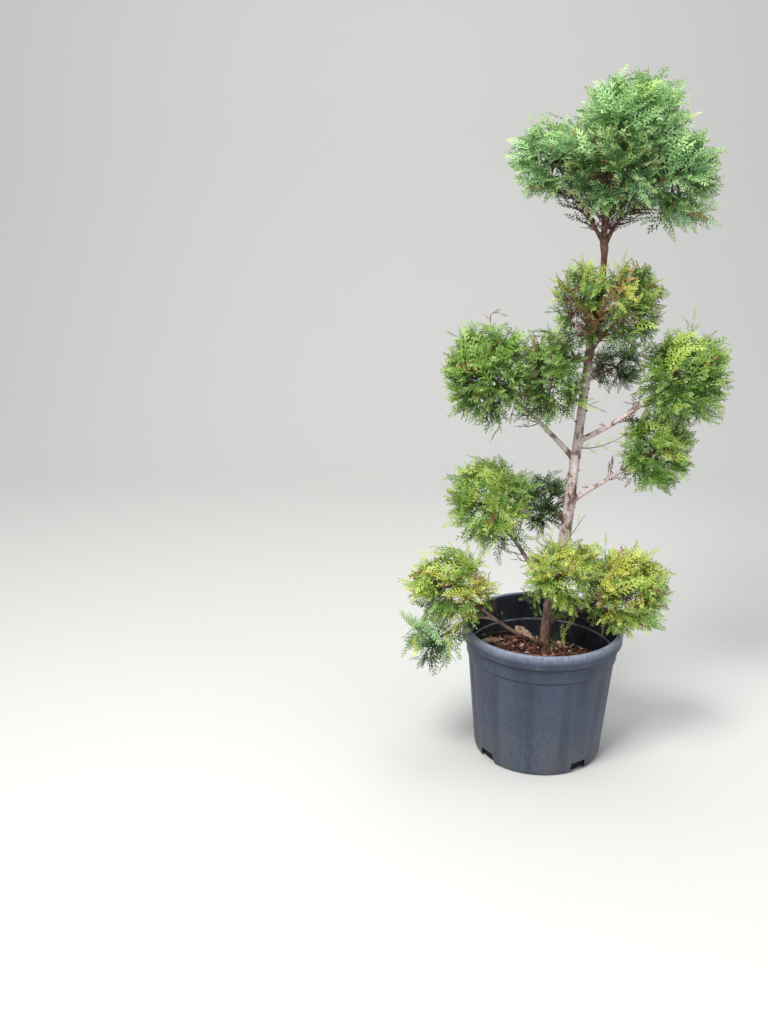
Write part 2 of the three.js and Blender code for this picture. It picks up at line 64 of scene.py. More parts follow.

# %% [markdown]
# The camera stands where the photographer stood: two metres in front of the pot, a little to its left,
# at chest height, and looks down by about nineteen degrees. Its place is given, because a helper that
# frames the object would lose the viewpoint, and with it the ellipse that the pot's rim makes.

# %% Camera
CAMERA_PLACE = (-0.3161, -2.0073, 1.1929)
CAMERA_PITCH = math.radians(18.88)
SENSOR_WIDTH = 36
FOCAL_PIXELS = 1100
PICTURE_HEIGHT = 1024

lens = bpy.data.cameras.new("camera")
lens.sensor_width = SENSOR_WIDTH
lens.lens = SENSOR_WIDTH * FOCAL_PIXELS / PICTURE_HEIGHT
camera = bpy.data.objects.new("camera", lens)
camera.location = CAMERA_PLACE
camera.rotation_euler = (math.pi / 2 - CAMERA_PITCH, 0, 0)
bpy.context.scene.collection.objects.link(camera)
bpy.context.scene.camera = camera
print("focal length:", round(lens.lens, 2), "mm")

# %% [markdown]
# Everything round here, from the pot to the thinnest twig, is a stack of rings joined by faces. One
# helper makes such a skin from its rings and closes both ends, and another follows a path with rings
# that turn as little as they can, so that a bent twig doesn't look wrung.


# %% Helpers for curves and skins of rings
def unit(vector):
    return vector / np.linalg.norm(vector)


def square_to(way, vector):
    """The way at right angles to another that leans most towards a vector."""
    return unit(vector - way * vector.dot(way))


def turns_round(sides):
    return 2 * math.pi * np.arange(sides) / sides


def curve_at(first, middle, last, share):
    return (1 - share) ** 2 * first + 2 * share * (1 - share) * middle + share ** 2 * last


def curve(first, middle, last, count):
    return [curve_at(first, middle, last, share) for share in np.linspace(0, 1, count)]


def length_of(path):
    return np.linalg.norm(np.diff(path, axis=0), axis=1).sum()


def skin_of_rings(rings):
    """Points and triangles of a closed skin over rings that all have the same number of points."""
    rings = np.asarray(rings, float)
    count, sides = rings.shape[:2]
    points = np.concatenate([rings.reshape(-1, 3), [rings[0].mean(axis=0), rings[-1].mean(axis=0)]])
    first = np.arange(count - 1)[:, None] * sides + np.arange(sides)
    after = np.arange(count - 1)[:, None] * sides + (np.arange(sides) + 1) % sides
    walls = np.stack([first, after, after + sides, first, after + sides, first + sides], axis=-1)
    here = np.arange(sides)
    beyond = (here + 1) % sides
    low_end = np.stack([np.full(sides, count * sides), beyond, here], axis=-1)
    last = (count - 1) * sides
    high_end = np.stack([np.full(sides, count * sides + 1), last + here, last + beyond], axis=-1)
    return points, np.concatenate([walls.reshape(-1, 3), low_end, high_end])


NEARLY_UP = (0.31, 0.17, 0.94)
STEEP = 0.9


def rings_along(path, radii, sides):
    """Rings round a path, with one radius for each of its points or one for each point of each ring."""
    path = np.asarray(path, float)
    radii = np.asarray(radii, float).reshape(len(path), -1)
    ways = np.gradient(path, axis=0)
    ways /= np.linalg.norm(ways, axis=1, keepdims=True)
    across = unit(np.cross(ways[0], NEARLY_UP if abs(ways[0][2]) < STEEP else (1, 0, 0)))
    turns = turns_round(sides)
    rings = []
    for place, way, radius in zip(path, ways, radii):
        across = square_to(way, across)
        other = np.cross(way, across)
        spokes = np.cos(turns)[:, None] * across + np.sin(turns)[:, None] * other
        rings.append(place + spokes * radius[:, None])
    return np.array(rings)


def make_piece(name, points, faces, smooth=True, slots=None):
    """A mesh object at the origin, from points in millimetres and an array of faces."""
    faces = np.asarray(faces, np.int32)
    count, corners = faces.shape
    mesh = bpy.data.meshes.new(name)
    mesh.vertices.add(len(points))
    mesh.vertices.foreach_set("co", (np.asarray(points) * MM).astype(np.float32).ravel())
    mesh.loops.add(count * corners)
    mesh.loops.foreach_set("vertex_index", faces.ravel())
    mesh.polygons.add(count)
    mesh.polygons.foreach_set("loop_start", np.arange(0, count * corners, corners, dtype=np.int32))
    if slots is not None:
        mesh.polygons.foreach_set("material_index", np.asarray(slots, np.int32))
    mesh.update(calc_edges=True)
    if not smooth:
        mesh.shade_flat()
    piece = bpy.data.objects.new(name, mesh)
    bpy.context.scene.collection.objects.link(piece)
    return piece


def join_skins(skins):
    """Several skins as one list of points and one of faces."""
    points = np.concatenate([skin[0] for skin in skins])
    starts = np.cumsum([0] + [len(skin[0]) for skin in skins[:-1]])
    return points, np.concatenate([skin[1] + start for skin, start in zip(skins, starts)])


# %% [markdown]
# A finish is a few nodes: noise picks between colours at the scale of the real surface, and the same
# noise lifts the surface a little. All of them read Object coordinates, so a pattern stays where it is
# on the piece from every side.


# %% Helpers for finishes
def new_finish(name, roughness):
    material = bpy.data.materials.new(name)
    material.use_nodes = True
    shader = material.node_tree.nodes["Principled BSDF"]
    shader.inputs["Roughness"].default_value = roughness
    return material, material.node_tree, shader


def plain_finish(name, color, roughness, gloss=0.5):
    material, _, shader = new_finish(name, roughness)
    shader.inputs["Base Color"].default_value = (*color, 1)
    shader.inputs["Specular IOR Level"].default_value = gloss
    return material


def wired(tree, kind, inputs, output=0, **settings):
    """One output of a new node, with each named input linked to a socket or given a value."""
    node = tree.nodes.new(kind)
    for key, value in settings.items():
        setattr(node, key, value)
    for key, source in inputs.items():
        if isinstance(source, bpy.types.NodeSocket):
            tree.links.new(source, node.inputs[key])
        else:
            node.inputs[key].default_value = source
    return node.outputs[output]


def place_of(tree):
    return tree.nodes.new("ShaderNodeTexCoord").outputs["Object"]


def axis_of(tree, axis):
    return wired(tree, "ShaderNodeSeparateXYZ", {"Vector": place_of(tree)}, axis)


def noise_over(tree, scale, stretch=(1, 1, 1), detail=4, roughness=0.55):
    """Noise of so many bumps to the metre, drawn out along an axis where stretch is small."""
    place = wired(tree, "ShaderNodeMapping", {"Vector": place_of(tree), "Scale": stretch})
    inputs = {"Vector": place, "Scale": scale, "Detail": detail, "Roughness": roughness}
    return wired(tree, "ShaderNodeTexNoise", inputs, "Fac")


def ramp(tree, factor, *stops):
    """Colours picked by a factor, from stops of (position, colour), where a number means a grey."""
    node = tree.nodes.new("ShaderNodeValToRGB")
    elements = node.color_ramp.elements
    elements.remove(elements[1])
    for order, (position, shade) in enumerate(stops):
        element = elements.new(position) if order else elements[0]
        element.position = position
        element.color = (*(shade if isinstance(shade, tuple) else (shade,) * 3), 1)
    tree.links.new(factor, node.inputs["Fac"])
    return node.outputs["Color"]


def blend_colors(tree, factor, first, second, mode="MIX"):
    inputs = {"Factor": factor, 6: first, 7: (*second, 1) if isinstance(second, tuple) else second}
    return wired(tree, "ShaderNodeMix", inputs, 2, data_type="RGBA", blend_type=mode)


def math_of(tree, operation, *values):
    return wired(tree, "ShaderNodeMath", dict(enumerate(values)), operation=operation)


def times(tree, first, second):
    return math_of(tree, "MULTIPLY", first, second)


def band_of(tree, low, high):
    """A factor that rises from 0 to 1 between two heights in metres."""
    return wired(tree, "ShaderNodeMapRange", {"Value": axis_of(tree, "Z"), "From Min": low, "From Max": high})


def line_at(tree, height, half):
    """A factor of 1 at one height in metres that falls to 0 above and below."""
    return times(tree, band_of(tree, height - half, height), band_of(tree, height + half, height))


def color_and_lift(tree, shader, color, height=None, distance=0, strength=0):
    """Gives the shader its colour, and small relief from a height where there is one."""
    tree.links.new(color, shader.inputs["Base Color"])
    if height is not None:
        inputs = {"Height": height, "Distance": distance, "Strength": strength}
        tree.links.new(wired(tree, "ShaderNodeBump", inputs), shader.inputs["Normal"])


# %% [markdown]
# The pot is one thin skin of plastic, turned round its axis: a rolled lip over a plain band, a small
# step, and a body of wide upright panels that narrows to a rounded foot. Its outline is a short list of
# corners, and each corner is rounded by a small curve, as a mould rounds it.

# %% Sizes of the pot, in millimetres
RIM_RADIUS = 160
POT_HEIGHT = 274
FOOT_RADIUS = 128.5
BODY_TOP_RADIUS = 146
WALL = 2.4
FLOOR = 3.2
LIP_HEIGHT = 28
BAND_HEIGHT = 32
STEP_OUT = 3.2
LIP_FOOT = POT_HEIGHT - LIP_HEIGHT
BAND_FOOT = LIP_FOOT - BAND_HEIGHT
BODY_FOOT = 9
STEP_HEIGHT = 3
FLUTES = 12
FLUTE_DEPTH = 2.0
FLUTE_SHARPNESS = 5
FLUTE_GAIN = 2
FLUTE_CUT = 0.4
FLUTE_BACKING = 0.5
FLUTE_FADE = 10
POT_SIDES = 240
CORNER_STEPS = 5
CORNER_MOST = 0.45
LONGEST_STEP = 6
INSIDE_FROM = 4


def inner_radius(z):
    share = (z - BODY_FOOT) / (BAND_FOOT - BODY_FOOT)
    return FOOT_RADIUS + (BODY_TOP_RADIUS - FOOT_RADIUS) * share - WALL - FLUTE_BACKING


def round_corners(corners):
    """A line through corners of (radius, height, rounding), with each corner cut by a small curve."""
    places = np.array([corner[:2] for corner in corners], float)
    line = [places[0]]
    for before, here, after, corner in zip(places, places[1:], places[2:], corners[1:]):
        back = before - here
        on = after - here
        cut = min(corner[2], CORNER_MOST * np.linalg.norm(back), CORNER_MOST * np.linalg.norm(on))
        line += curve(here + unit(back) * cut, here, here + unit(on) * cut, CORNER_STEPS)
    line.append(places[-1])
    return np.array(line)


def refine(line, longest):
    """The same line with its long stretches cut into shorter ones."""
    fine = [line[0]]
    for before, here in zip(line, line[1:]):
        parts = max(1, math.ceil(np.linalg.norm(here - before) / longest))
        fine += [before + (here - before) * part / parts for part in range(1, parts + 1)]
    return np.array(fine)


# %% The pot's mesh
OUTSIDE = [
    (6, 0, 0),
    (FOOT_RADIUS - 4, 0, 3),
    (FOOT_RADIUS, BODY_FOOT, 5),
    (BODY_TOP_RADIUS, BAND_FOOT - STEP_HEIGHT, 1),
    (BODY_TOP_RADIUS + STEP_OUT, BAND_FOOT, 1.2),
    (BODY_TOP_RADIUS + STEP_OUT + 1.4, LIP_FOOT + 1, 1.2),
    (RIM_RADIUS - 1.4, LIP_FOOT - 0.5, 1.6),
    (RIM_RADIUS, POT_HEIGHT - 8, 6),
    (RIM_RADIUS - 3, POT_HEIGHT, 6),
]
INSIDE = [
    (RIM_RADIUS - 10, POT_HEIGHT - 0.6, 6),
    (RIM_RADIUS - 12, POT_HEIGHT - 12, 6),
    (inner_radius(BAND_FOOT) + STEP_OUT, BAND_FOOT + 4, 1.5),
    (inner_radius(BAND_FOOT), BAND_FOOT, 1),
    (inner_radius(BODY_FOOT), BODY_FOOT, 5),
    (inner_radius(BODY_FOOT) - 6, FLOOR, 3),
    (6, FLOOR, 0),
]
outline = refine(round_corners(OUTSIDE + INSIDE), LONGEST_STEP)
turns = turns_round(POT_SIDES)
groove = np.clip(FLUTE_GAIN * (0.5 - 0.5 * np.cos(FLUTES * turns)) ** FLUTE_SHARPNESS - FLUTE_CUT, 0, 1)
groove = groove ** 2 * (3 - 2 * groove)
top_ring = int(np.argmax(outline[:, 1]))
pot_rings = []
for order, (radius, height) in enumerate(outline):
    fade = np.clip(min(height - BODY_FOOT, BAND_FOOT - STEP_HEIGHT - height) / FLUTE_FADE, 0, 1)
    reach = radius - (fade if order < top_ring else 0) * FLUTE_DEPTH * groove
    pot_rings.append(np.stack([reach * np.cos(turns), reach * np.sin(turns), np.full(POT_SIDES, height)], -1))
pot_points, pot_faces = skin_of_rings(pot_rings)
ring_of_face = np.minimum(pot_faces.min(axis=1) // POT_SIDES, len(outline) - 1)
# the inner faces take the second finish, the painted shade of the inside
inside_faces = ring_of_face >= top_ring + INSIDE_FROM
pot = make_piece("nursery_pot", pot_points, pot_faces, slots=inside_faces.astype(int))
print("pot:", len(pot_faces), "triangles")

# %% [markdown]
# Four notches are cut into the foot so that water drains. Cutting real holes, and not painting them,
# keeps their dark insides right from every side. The cutters are four small wedges in one mesh, and one
# Boolean modifier takes them all away.

# %% Drainage notches
NOTCH_BEARINGS = [-58, 32, 122, 212]
NOTCH_WIDTH = 44
NOTCH_TOP_WIDTH = 34
NOTCH_HEIGHT = 23
NOTCH_INNER_RADIUS = 112
NOTCH_OUTER_RADIUS = 136
NOTCH_BELOW = -2

wedges = []
for bearing in NOTCH_BEARINGS:
    turn = math.radians(bearing)
    outward = np.array([math.sin(turn), -math.cos(turn), 0])
    sideways = np.array([math.cos(turn), math.sin(turn), 0])
    wedge = []
    for reach in (NOTCH_INNER_RADIUS, NOTCH_OUTER_RADIUS):
        corners = [(-NOTCH_WIDTH, NOTCH_BELOW), (NOTCH_WIDTH, NOTCH_BELOW)]
        corners += [(NOTCH_TOP_WIDTH, NOTCH_HEIGHT), (-NOTCH_TOP_WIDTH, NOTCH_HEIGHT)]
        wedge.append([outward * reach + sideways * width / 2 + (0, 0, height) for width, height in corners])
    wedges.append(skin_of_rings(wedge))
cutter = make_piece("notch_cutter", *join_skins(wedges), smooth=False)
cut = pot.modifiers.new("notches", "BOOLEAN")
cut.operation = "DIFFERENCE"
cut.solver = "EXACT"
cut.object = cutter


def settle(piece):
    """Turns a piece with modifiers into the plain mesh that they make."""
    bpy.context.view_layer.update()
    made = bpy.data.meshes.new_from_object(piece.evaluated_get(bpy.context.evaluated_depsgraph_get()))
    piece.modifiers.clear()
    piece.data = made


settle(pot)
bpy.data.objects.remove(cutter)
print("pot with notches:", len(pot.data.polygons), "faces")

# %% [markdown]
# The plastic is slate blue-grey and has stood outside for years. Fine scuffs and dust make it paler,
# above all low down, and faint streaks run down it. The lip is paler still, from wear and from a painted
# highlight. Painted shadow darkens the flutes and thin lines under the lip and the step. Inside, painted
# shade makes it nearly black, and a broken pale line is painted as a highlight along the inner ledge.

# %% Plastic of the pot
SLATE = (0.052, 0.07, 0.12)
SLATE_DARK = (0.024, 0.035, 0.066)
SLATE_DUSTY = (0.115, 0.14, 0.195)
# paler slate: wear on the lip and on scratches, and a painted highlight on the lip's top
LIP_WEAR_AND_HIGHLIGHT = (0.26, 0.3, 0.39)
# painted shadow: the colour of the dark lines painted under the lip and under the step
SHADOW_LINE_COLOR = (0.014, 0.018, 0.028)
EARTHY = (0.115, 0.105, 0.105)
SPECK = (0.36, 0.37, 0.38)
DUST_BAND = (0.24, -0.02)
EARTH_BAND = (0.1, 0.0)
# heights over which the flutes get their painted shade
FLUTE_SHADE_BAND = ((BAND_FOOT - 2) * MM, (BAND_FOOT - 14) * MM)
LIP_BAND = (0.256, 0.271)
# heights and half widths of the painted shadow lines under the lip and under the step
LIP_SHADOW_LINE = (LIP_FOOT * MM - 0.0056, 0.0034)
STEP_SHADOW_LINE = (BAND_FOOT * MM - 0.0034, 0.003)


def flute_shade(tree):
    """Painted shade in the flutes: a factor that rises in each one, from the angle round the pot."""
    angle = math_of(tree, "ARCTAN2", axis_of(tree, "Y"), axis_of(tree, "X"))
    wave = math_of(tree, "COSINE", math_of(tree, "MULTIPLY_ADD", angle, FLUTES, math.pi))
    return ramp(tree, wave, (0.5, 0), (0.95, 0.36))


plastic, tree, shader = new_finish("slate_plastic", 0.5)
scuffs = noise_over(tree, 130, (1, 1, 0.6), detail=8, roughness=0.7)
blotches = ramp(tree, noise_over(tree, 17, detail=6), (0.42, 0), (0.62, 1))
scratches = ramp(tree, noise_over(tree, 150, (1, 1, 0.05), detail=3), (0.68, 0), (0.74, 0.6))
specks = ramp(tree, noise_over(tree, 620, detail=1), (0.735, 0), (0.78, 1))
colored = ramp(tree, noise_over(tree, 26, (1, 1, 0.16)), (0.32, SLATE_DARK), (0.66, SLATE))
for factor, color in [
    (times(tree, band_of(tree, *DUST_BAND), ramp(tree, scuffs, (0.36, 0), (0.74, 1))), SLATE_DUSTY),
    (times(tree, band_of(tree, *EARTH_BAND), blotches), EARTHY),
    (times(tree, scratches, blotches), LIP_WEAR_AND_HIGHLIGHT),
    # painted shade darkens each flute, on the body only
    (times(tree, band_of(tree, *FLUTE_SHADE_BAND), flute_shade(tree)), SLATE_DARK),
    # the lip's band is painted paler: partly wear, partly a painted highlight where light falls on it
    (times(tree, band_of(tree, *LIP_BAND), ramp(tree, scuffs, (0.25, 0.3), (0.6, 1))), LIP_WEAR_AND_HIGHLIGHT),
    (specks, SPECK),
    # painted shadow: a dark line under the lip's overhang and another under the step
    (line_at(tree, *LIP_SHADOW_LINE), SHADOW_LINE_COLOR),
    (line_at(tree, *STEP_SHADOW_LINE), SHADOW_LINE_COLOR),
]:
    colored = blend_colors(tree, factor, colored, color)
color_and_lift(tree, shader, colored, scuffs, 0.0003, 0.5)
tree.links.new(ramp(tree, scuffs, (0.3, 0.42), (0.7, 0.62)), shader.inputs["Roughness"])

# %% Inside of the pot
# painted highlight: a thin pale line where the inner ledge catches the light
LEDGE_HIGHLIGHT = (0.2165, 0.0017)
LEDGE_HIGHLIGHT_COLOR = (0.3, 0.31, 0.34)
# painted shade: the inside of the pot is coloured nearly black where little light reaches
INSIDE_SHADE_STOPS = [(0.4, (0.016, 0.021, 0.036)), (0.62, (0.04, 0.05, 0.078)), (0.78, (0.16, 0.18, 0.22))]

# the inside's finish is painted shade, with small changes of tone
inside_shade, tree, shader = new_finish("dark_lining", 0.6)
inside_shade_tone = ramp(tree, noise_over(tree, 55, (1, 1, 0.5), detail=7, roughness=0.65), *INSIDE_SHADE_STOPS)
gaps = ramp(tree, noise_over(tree, 34), (0.34, 0.15), (0.55, 1))
# the painted highlight line, broken in places by noise
broken_highlight = times(tree, line_at(tree, *LEDGE_HIGHLIGHT), gaps)
color_and_lift(tree, shader, blend_colors(tree, broken_highlight, inside_shade_tone, LEDGE_HIGHLIGHT_COLOR))
pot.data.materials.append(plastic)
pot.data.materials.append(inside_shade)

# %% [markdown]
# The compost is composted bark, red-brown and lumpy. Its surface falls away to the right and the back
# and is heaped a little round the trunk. The lumps are part of the mesh, worked out from noise.

# %% Sizes of the trunk, which the compost is heaped round
TRUNK_FOOT = 194
TRUNK_TOP = 1022
TRUNK_STATIONS = np.array([
    (TRUNK_FOOT, 15, 21, 11.6),
    (243, 10.5, 21, 10.6),
    (290, 16.5, 22, 11.4),
    (447, 39, 25, 11.4),
    (600, 51, 25, 9.2),
    (820, 67, 25, 7.3),
    (960, 82, 25, 5.6),
    (TRUNK_TOP, 80, 25, 5.4),
])
LAST_STATION = len(TRUNK_STATIONS) - 1


def trunk_slope(index):
    step = TRUNK_STATIONS[min(index + 1, LAST_STATION)] - TRUNK_STATIONS[max(index - 1, 0)]
    return step / step[0]


def trunk_at(z):
    """Middle and radius of the trunk's level section at a height."""
    low = 0
    while low < LAST_STATION - 1 and z > TRUNK_STATIONS[low + 1][0]:
        low += 1
    before, after = TRUNK_STATIONS[low:low + 2]
    span = after[0] - before[0]
    share = (z - before[0]) / span
    _, x, y, radius = (before * (2 * share ** 3 - 3 * share ** 2 + 1)
                       + trunk_slope(low) * span * (share ** 3 - 2 * share ** 2 + share)
                       + after * (3 * share ** 2 - 2 * share ** 3)
                       + trunk_slope(low + 1) * span * (share ** 3 - share ** 2))
    return np.array([x, y, z]), radius


# %% The compost's mesh
SOIL_LEVEL = 196
SOIL_FALL_RIGHT = 0.1
SOIL_FALL_BACK = 0.13
SOIL_HEAP = 5
SOIL_HEAP_SPREAD = 45
SOIL_LUMPS = 2.6
SOIL_LUMP_SIZE = 13
SOIL_SIDES = 144
SOIL_RINGS = 44
SOIL_GAP = 0.8
SOIL_MIDDLE = 0.02
SOIL_FOOT_INSET = 5
SOIL_OVER_FLOOR = 0.3
BUMP_FALL = 0.8
BUMP_STEP = 2


def bumps(place, size, octaves=4):
    """Noise between about -1 and 1 at a place, with bumps of about that size."""
    return noise.fractal(Vector(place) / size, BUMP_FALL, BUMP_STEP, octaves)


def soil_height(x, y):
    middle, _ = trunk_at(TRUNK_FOOT)
    away = math.hypot(x - middle[0], y - middle[1])
    heap = SOIL_HEAP * math.exp(-((away / SOIL_HEAP_SPREAD) ** 2))
    return SOIL_LEVEL - SOIL_FALL_RIGHT * x - SOIL_FALL_BACK * y + heap


def soil_ring(share):
    guess = inner_radius(SOIL_LEVEL)
    ring = []
    for turn in turns_round(SOIL_SIDES):
        edge = inner_radius(soil_height(guess * math.cos(turn), guess * math.sin(turn))) - SOIL_GAP
        x = share * edge * math.cos(turn)
        y = share * edge * math.sin(turn)
        ring.append((x, y, soil_height(x, y) + SOIL_LUMPS * bumps((x, y, 7), SOIL_LUMP_SIZE)))
    return ring


def soil_rings(outermost):
    return [soil_ring(share) for share in np.linspace(outermost, SOIL_MIDDLE, SOIL_RINGS)]


foot_edge = inner_radius(BODY_FOOT) - SOIL_FOOT_INSET
soil_foot = [(foot_edge * math.cos(turn), foot_edge * math.sin(turn), FLOOR + SOIL_OVER_FLOOR)
             for turn in turns_round(SOIL_SIDES)]
compost = make_piece("bark_compost", *skin_of_rings([soil_foot] + soil_rings(1)))
print("compost:", len(compost.data.polygons), "triangles")

# %% Damp bark colours
SOIL_STOPS = [(0.32, (0.022, 0.008, 0.006)), (0.46, (0.13, 0.046, 0.03)),
              (0.6, (0.4, 0.19, 0.125)), (0.76, (0.8, 0.6, 0.5))]
# painted shade: the compost turns nearly black low in the pot, where the notches let it be seen
SOIL_SHADE = (0.006, 0.004, 0.004)
SOIL_SHADE_BAND = (0.1, 0.05)

soil, tree, shader = new_finish("damp_compost", 0.95)
crumbs = noise_over(tree, 210, detail=9, roughness=0.75)
# the lowest compost is painted dark as shade
soil_color = blend_colors(tree, band_of(tree, *SOIL_SHADE_BAND), ramp(tree, crumbs, *SOIL_STOPS), SOIL_SHADE)
color_and_lift(tree, shader, soil_color, crumbs, 0.002, 0.8)
compost.data.materials.append(soil)

# %% [markdown]
# Loose chips of bark lie all over the compost, each at its own angle. This is what Geometry Nodes are
# for: points are strewn over the surface, a random chip is set on each, and the copies are made real.
# The tree runs once for each of four finishes, because a chip's colour goes with its kind.

# %% A few chips of each kind
CHIP_CORNERS = 6
CHIP_TURN = 0.25
CHIP_UNEVEN = (0.75, 1.1)
CHIP_BEVEL = (0.86, 0.8)
CHIP_SEED = 11


def chip_shape(name, length, width, thickness, seed):
    """A flat splinter with six uneven corners, one face above and one below."""
    draw = random.Random(seed)
    corners = []
    for turn in turns_round(CHIP_CORNERS):
        turn += draw.uniform(-CHIP_TURN, CHIP_TURN)
        reach = draw.uniform(*CHIP_UNEVEN)
        corners.append((reach * length / 2 * math.cos(turn), reach * width / 2 * math.sin(turn)))
    low = [(x, y, -thickness / 2) for x, y in corners]
    high = [(CHIP_BEVEL[0] * x, CHIP_BEVEL[1] * y, thickness / 2 + draw.uniform(0, 0.3) * thickness)
            for x, y in corners]
    return make_piece(name, *skin_of_rings([low, high]), smooth=False)


def chip_box(kind, sizes):
    """A collection of chips, kept out of the scene so that only their copies show."""
    box = bpy.data.collections.new("chips_" + kind)
    for order, size in enumerate(sizes):
        chip = chip_shape("chip_" + kind + str(order), *size, seed=order + CHIP_SEED)
        bpy.context.scene.collection.objects.unlink(chip)
        box.objects.link(chip)
    return box


# %% The tree that strews them
AMOUNT = "Chips per square metre"
SOCKETS = {"Geometry": "Geometry", AMOUNT: "Float", "Smallest": "Float", "Largest": "Float", "Seed": "Int"}
CHIP_TILT = 0.5


def strewing_tree(finish, box):
    """A node tree that sets random chips from a box on the faces of a mesh."""
    tree = bpy.data.node_groups.new("strew_" + box.name, "GeometryNodeTree")
    inputs = {}
    for label, kind in SOCKETS.items():
        socket = tree.interface.new_socket(label, in_out="INPUT", socket_type="NodeSocket" + kind)
        inputs[label] = socket.identifier
    tree.interface.new_socket("Geometry", in_out="OUTPUT", socket_type="NodeSocketGeometry")

    start = tree.nodes.new("NodeGroupInput").outputs
    seed = start["Seed"]
    points = wired(tree, "GeometryNodeDistributePointsOnFaces",
                   {"Mesh": start["Geometry"], "Density": start[AMOUNT], "Seed": seed})
    chips = wired(tree, "GeometryNodeCollectionInfo",
                  {"Collection": box, "Separate Children": True, "Reset Children": True})
    limits = {"Min": (-CHIP_TILT, -CHIP_TILT, 0), "Max": (CHIP_TILT, CHIP_TILT, 2 * math.pi)}
    tilt = wired(tree, "FunctionNodeRandomValue", {**limits, "Seed": seed}, data_type="FLOAT_VECTOR")
    turn = wired(tree, "FunctionNodeEulerToRotation", {0: tilt})
    size = wired(tree, "FunctionNodeRandomValue", {2: start["Smallest"], 3: start["Largest"]}, 1)
    copies = wired(tree, "GeometryNodeInstanceOnPoints", {"Points": points, "Instance": chips, "Scale": size,
                                                          "Pick Instance": True, "Rotation": turn})
    real = wired(tree, "GeometryNodeRealizeInstances", {"Geometry": copies})
    painted = wired(tree, "GeometryNodeSetMaterial", {"Geometry": real, "Material": finish})
    tree.links.new(painted, tree.nodes.new("NodeGroupOutput").inputs["Geometry"])
    return tree, inputs


# %% Chips on the compost
CHIP_KINDS = {
    "dark": ((0.035, 0.014, 0.01), 8500, [(13, 7, 2.6), (9, 6, 2.2), (17, 6, 2.4)]),
    "red": ((0.34, 0.12, 0.068), 7200, [(14, 7, 2), (10, 7, 2.2), (19, 5, 1.8), (8, 6, 2.2)]),
    "tan": ((0.74, 0.45, 0.32), 2500, [(13, 6, 1.8), (18, 3.5, 1.4), (10, 7, 2)]),
    "pale": ((0.95, 0.84, 0.78), 1200, [(19, 10, 2), (26, 2, 1.4), (13, 9, 2.2)]),
}
CHIP_REACH = 0.955
CHIP_SIZES = (0.55, 1.25)
bed_points, bed_faces = skin_of_rings(soil_rings(CHIP_REACH))
bed_faces = bed_faces[bed_faces.max(axis=1) < SOIL_RINGS * SOIL_SIDES]
chip_pieces = []
for order, (kind, (color, amount, sizes)) in enumerate(CHIP_KINDS.items()):
    chips = make_piece("loose_chips_" + kind, bed_points, bed_faces)
    tree, inputs = strewing_tree(plain_finish("bark_chip_" + kind, color, 0.85), chip_box(kind, sizes))
    strew = chips.modifiers.new("strew", "NODES")
    strew.node_group = tree
    strew[inputs[AMOUNT]] = float(amount)
    strew[inputs["Smallest"]], strew[inputs["Largest"]] = CHIP_SIZES
    strew[inputs["Seed"]] = order + 3
    settle(chips)
    chips.data.shade_flat()
    chip_pieces.append(chips)
    print("chips", kind, len(chips.data.polygons), "faces")

# %% Two large flakes of bark
FLAKES = [
    ([-24, 84, 211], [28, -26, -15], (50, 29, 5)),
    ([-96, 66, 202], [30, -14, 6], (42, 24, 5)),
]
FLAKE_RINGS = [(-0.5, 0.55), (-0.34, 0.96), (0, 1), (0.3, 0.93), (0.5, 0.4)]
FLAKE_SIDES = 18
FLAKE_UNEVEN = (0.22, 9)
FLAKE_ROUGH = (0.9, 5)
FLAKE_CURL = 5
FLAKE_STOPS = [(0.36, (0.16, 0.085, 0.055)), (0.48, (0.5, 0.34, 0.23)), (0.66, (0.78, 0.63, 0.48))]


def flake_skin(place, heading, sizes):
    """An uneven oval plate, curved a little along its length."""
    length, width, thickness = sizes
    ahead = unit(np.array(heading, float))
    aside = unit(np.cross((0, 0, 1), ahead))
    above = np.cross(ahead, aside)
    rings = []
    for level, share in FLAKE_RINGS:
        ring = []
        for turn in turns_round(FLAKE_SIDES):
            u = share * length / 2 * math.cos(turn)
            v = share * width / 2 * math.sin(turn)
            uneven = 1 + FLAKE_UNEVEN[0] * bumps((u + place[0], v, 0), FLAKE_UNEVEN[1], 2)
            lifted = level * thickness + FLAKE_CURL * (v / width) ** 2
            lifted += FLAKE_ROUGH[0] * bumps((u, v, 5), FLAKE_ROUGH[1], 2)
            ring.append(place + ahead * u * uneven + aside * v * uneven + above * lifted)
        rings.append(ring)
    return skin_of_rings(rings)


flakes = make_piece("bark_flakes", *join_skins([flake_skin(*row) for row in FLAKES]))
flake_finish, tree, shader = new_finish("pale_flake", 0.85)
grain = noise_over(tree, 240, (1, 0.35, 1), detail=6, roughness=0.65)
color_and_lift(tree, shader, ramp(tree, grain, *FLAKE_STOPS), grain, 0.001, 0.8)
flakes.data.materials.append(flake_finish)
chip_pieces.append(flakes)
print("flakes:", len(flakes.data.polygons), "triangles")

# %% [markdown]
# The tufts follow the same table as the solid model: the middle of each, how far it reaches, where its
# bough leaves the trunk, and a point the bough passes on its way. Because every place comes from the
# same table by the same rule, boughs and foliage fall where the frame has them, with no fitting.

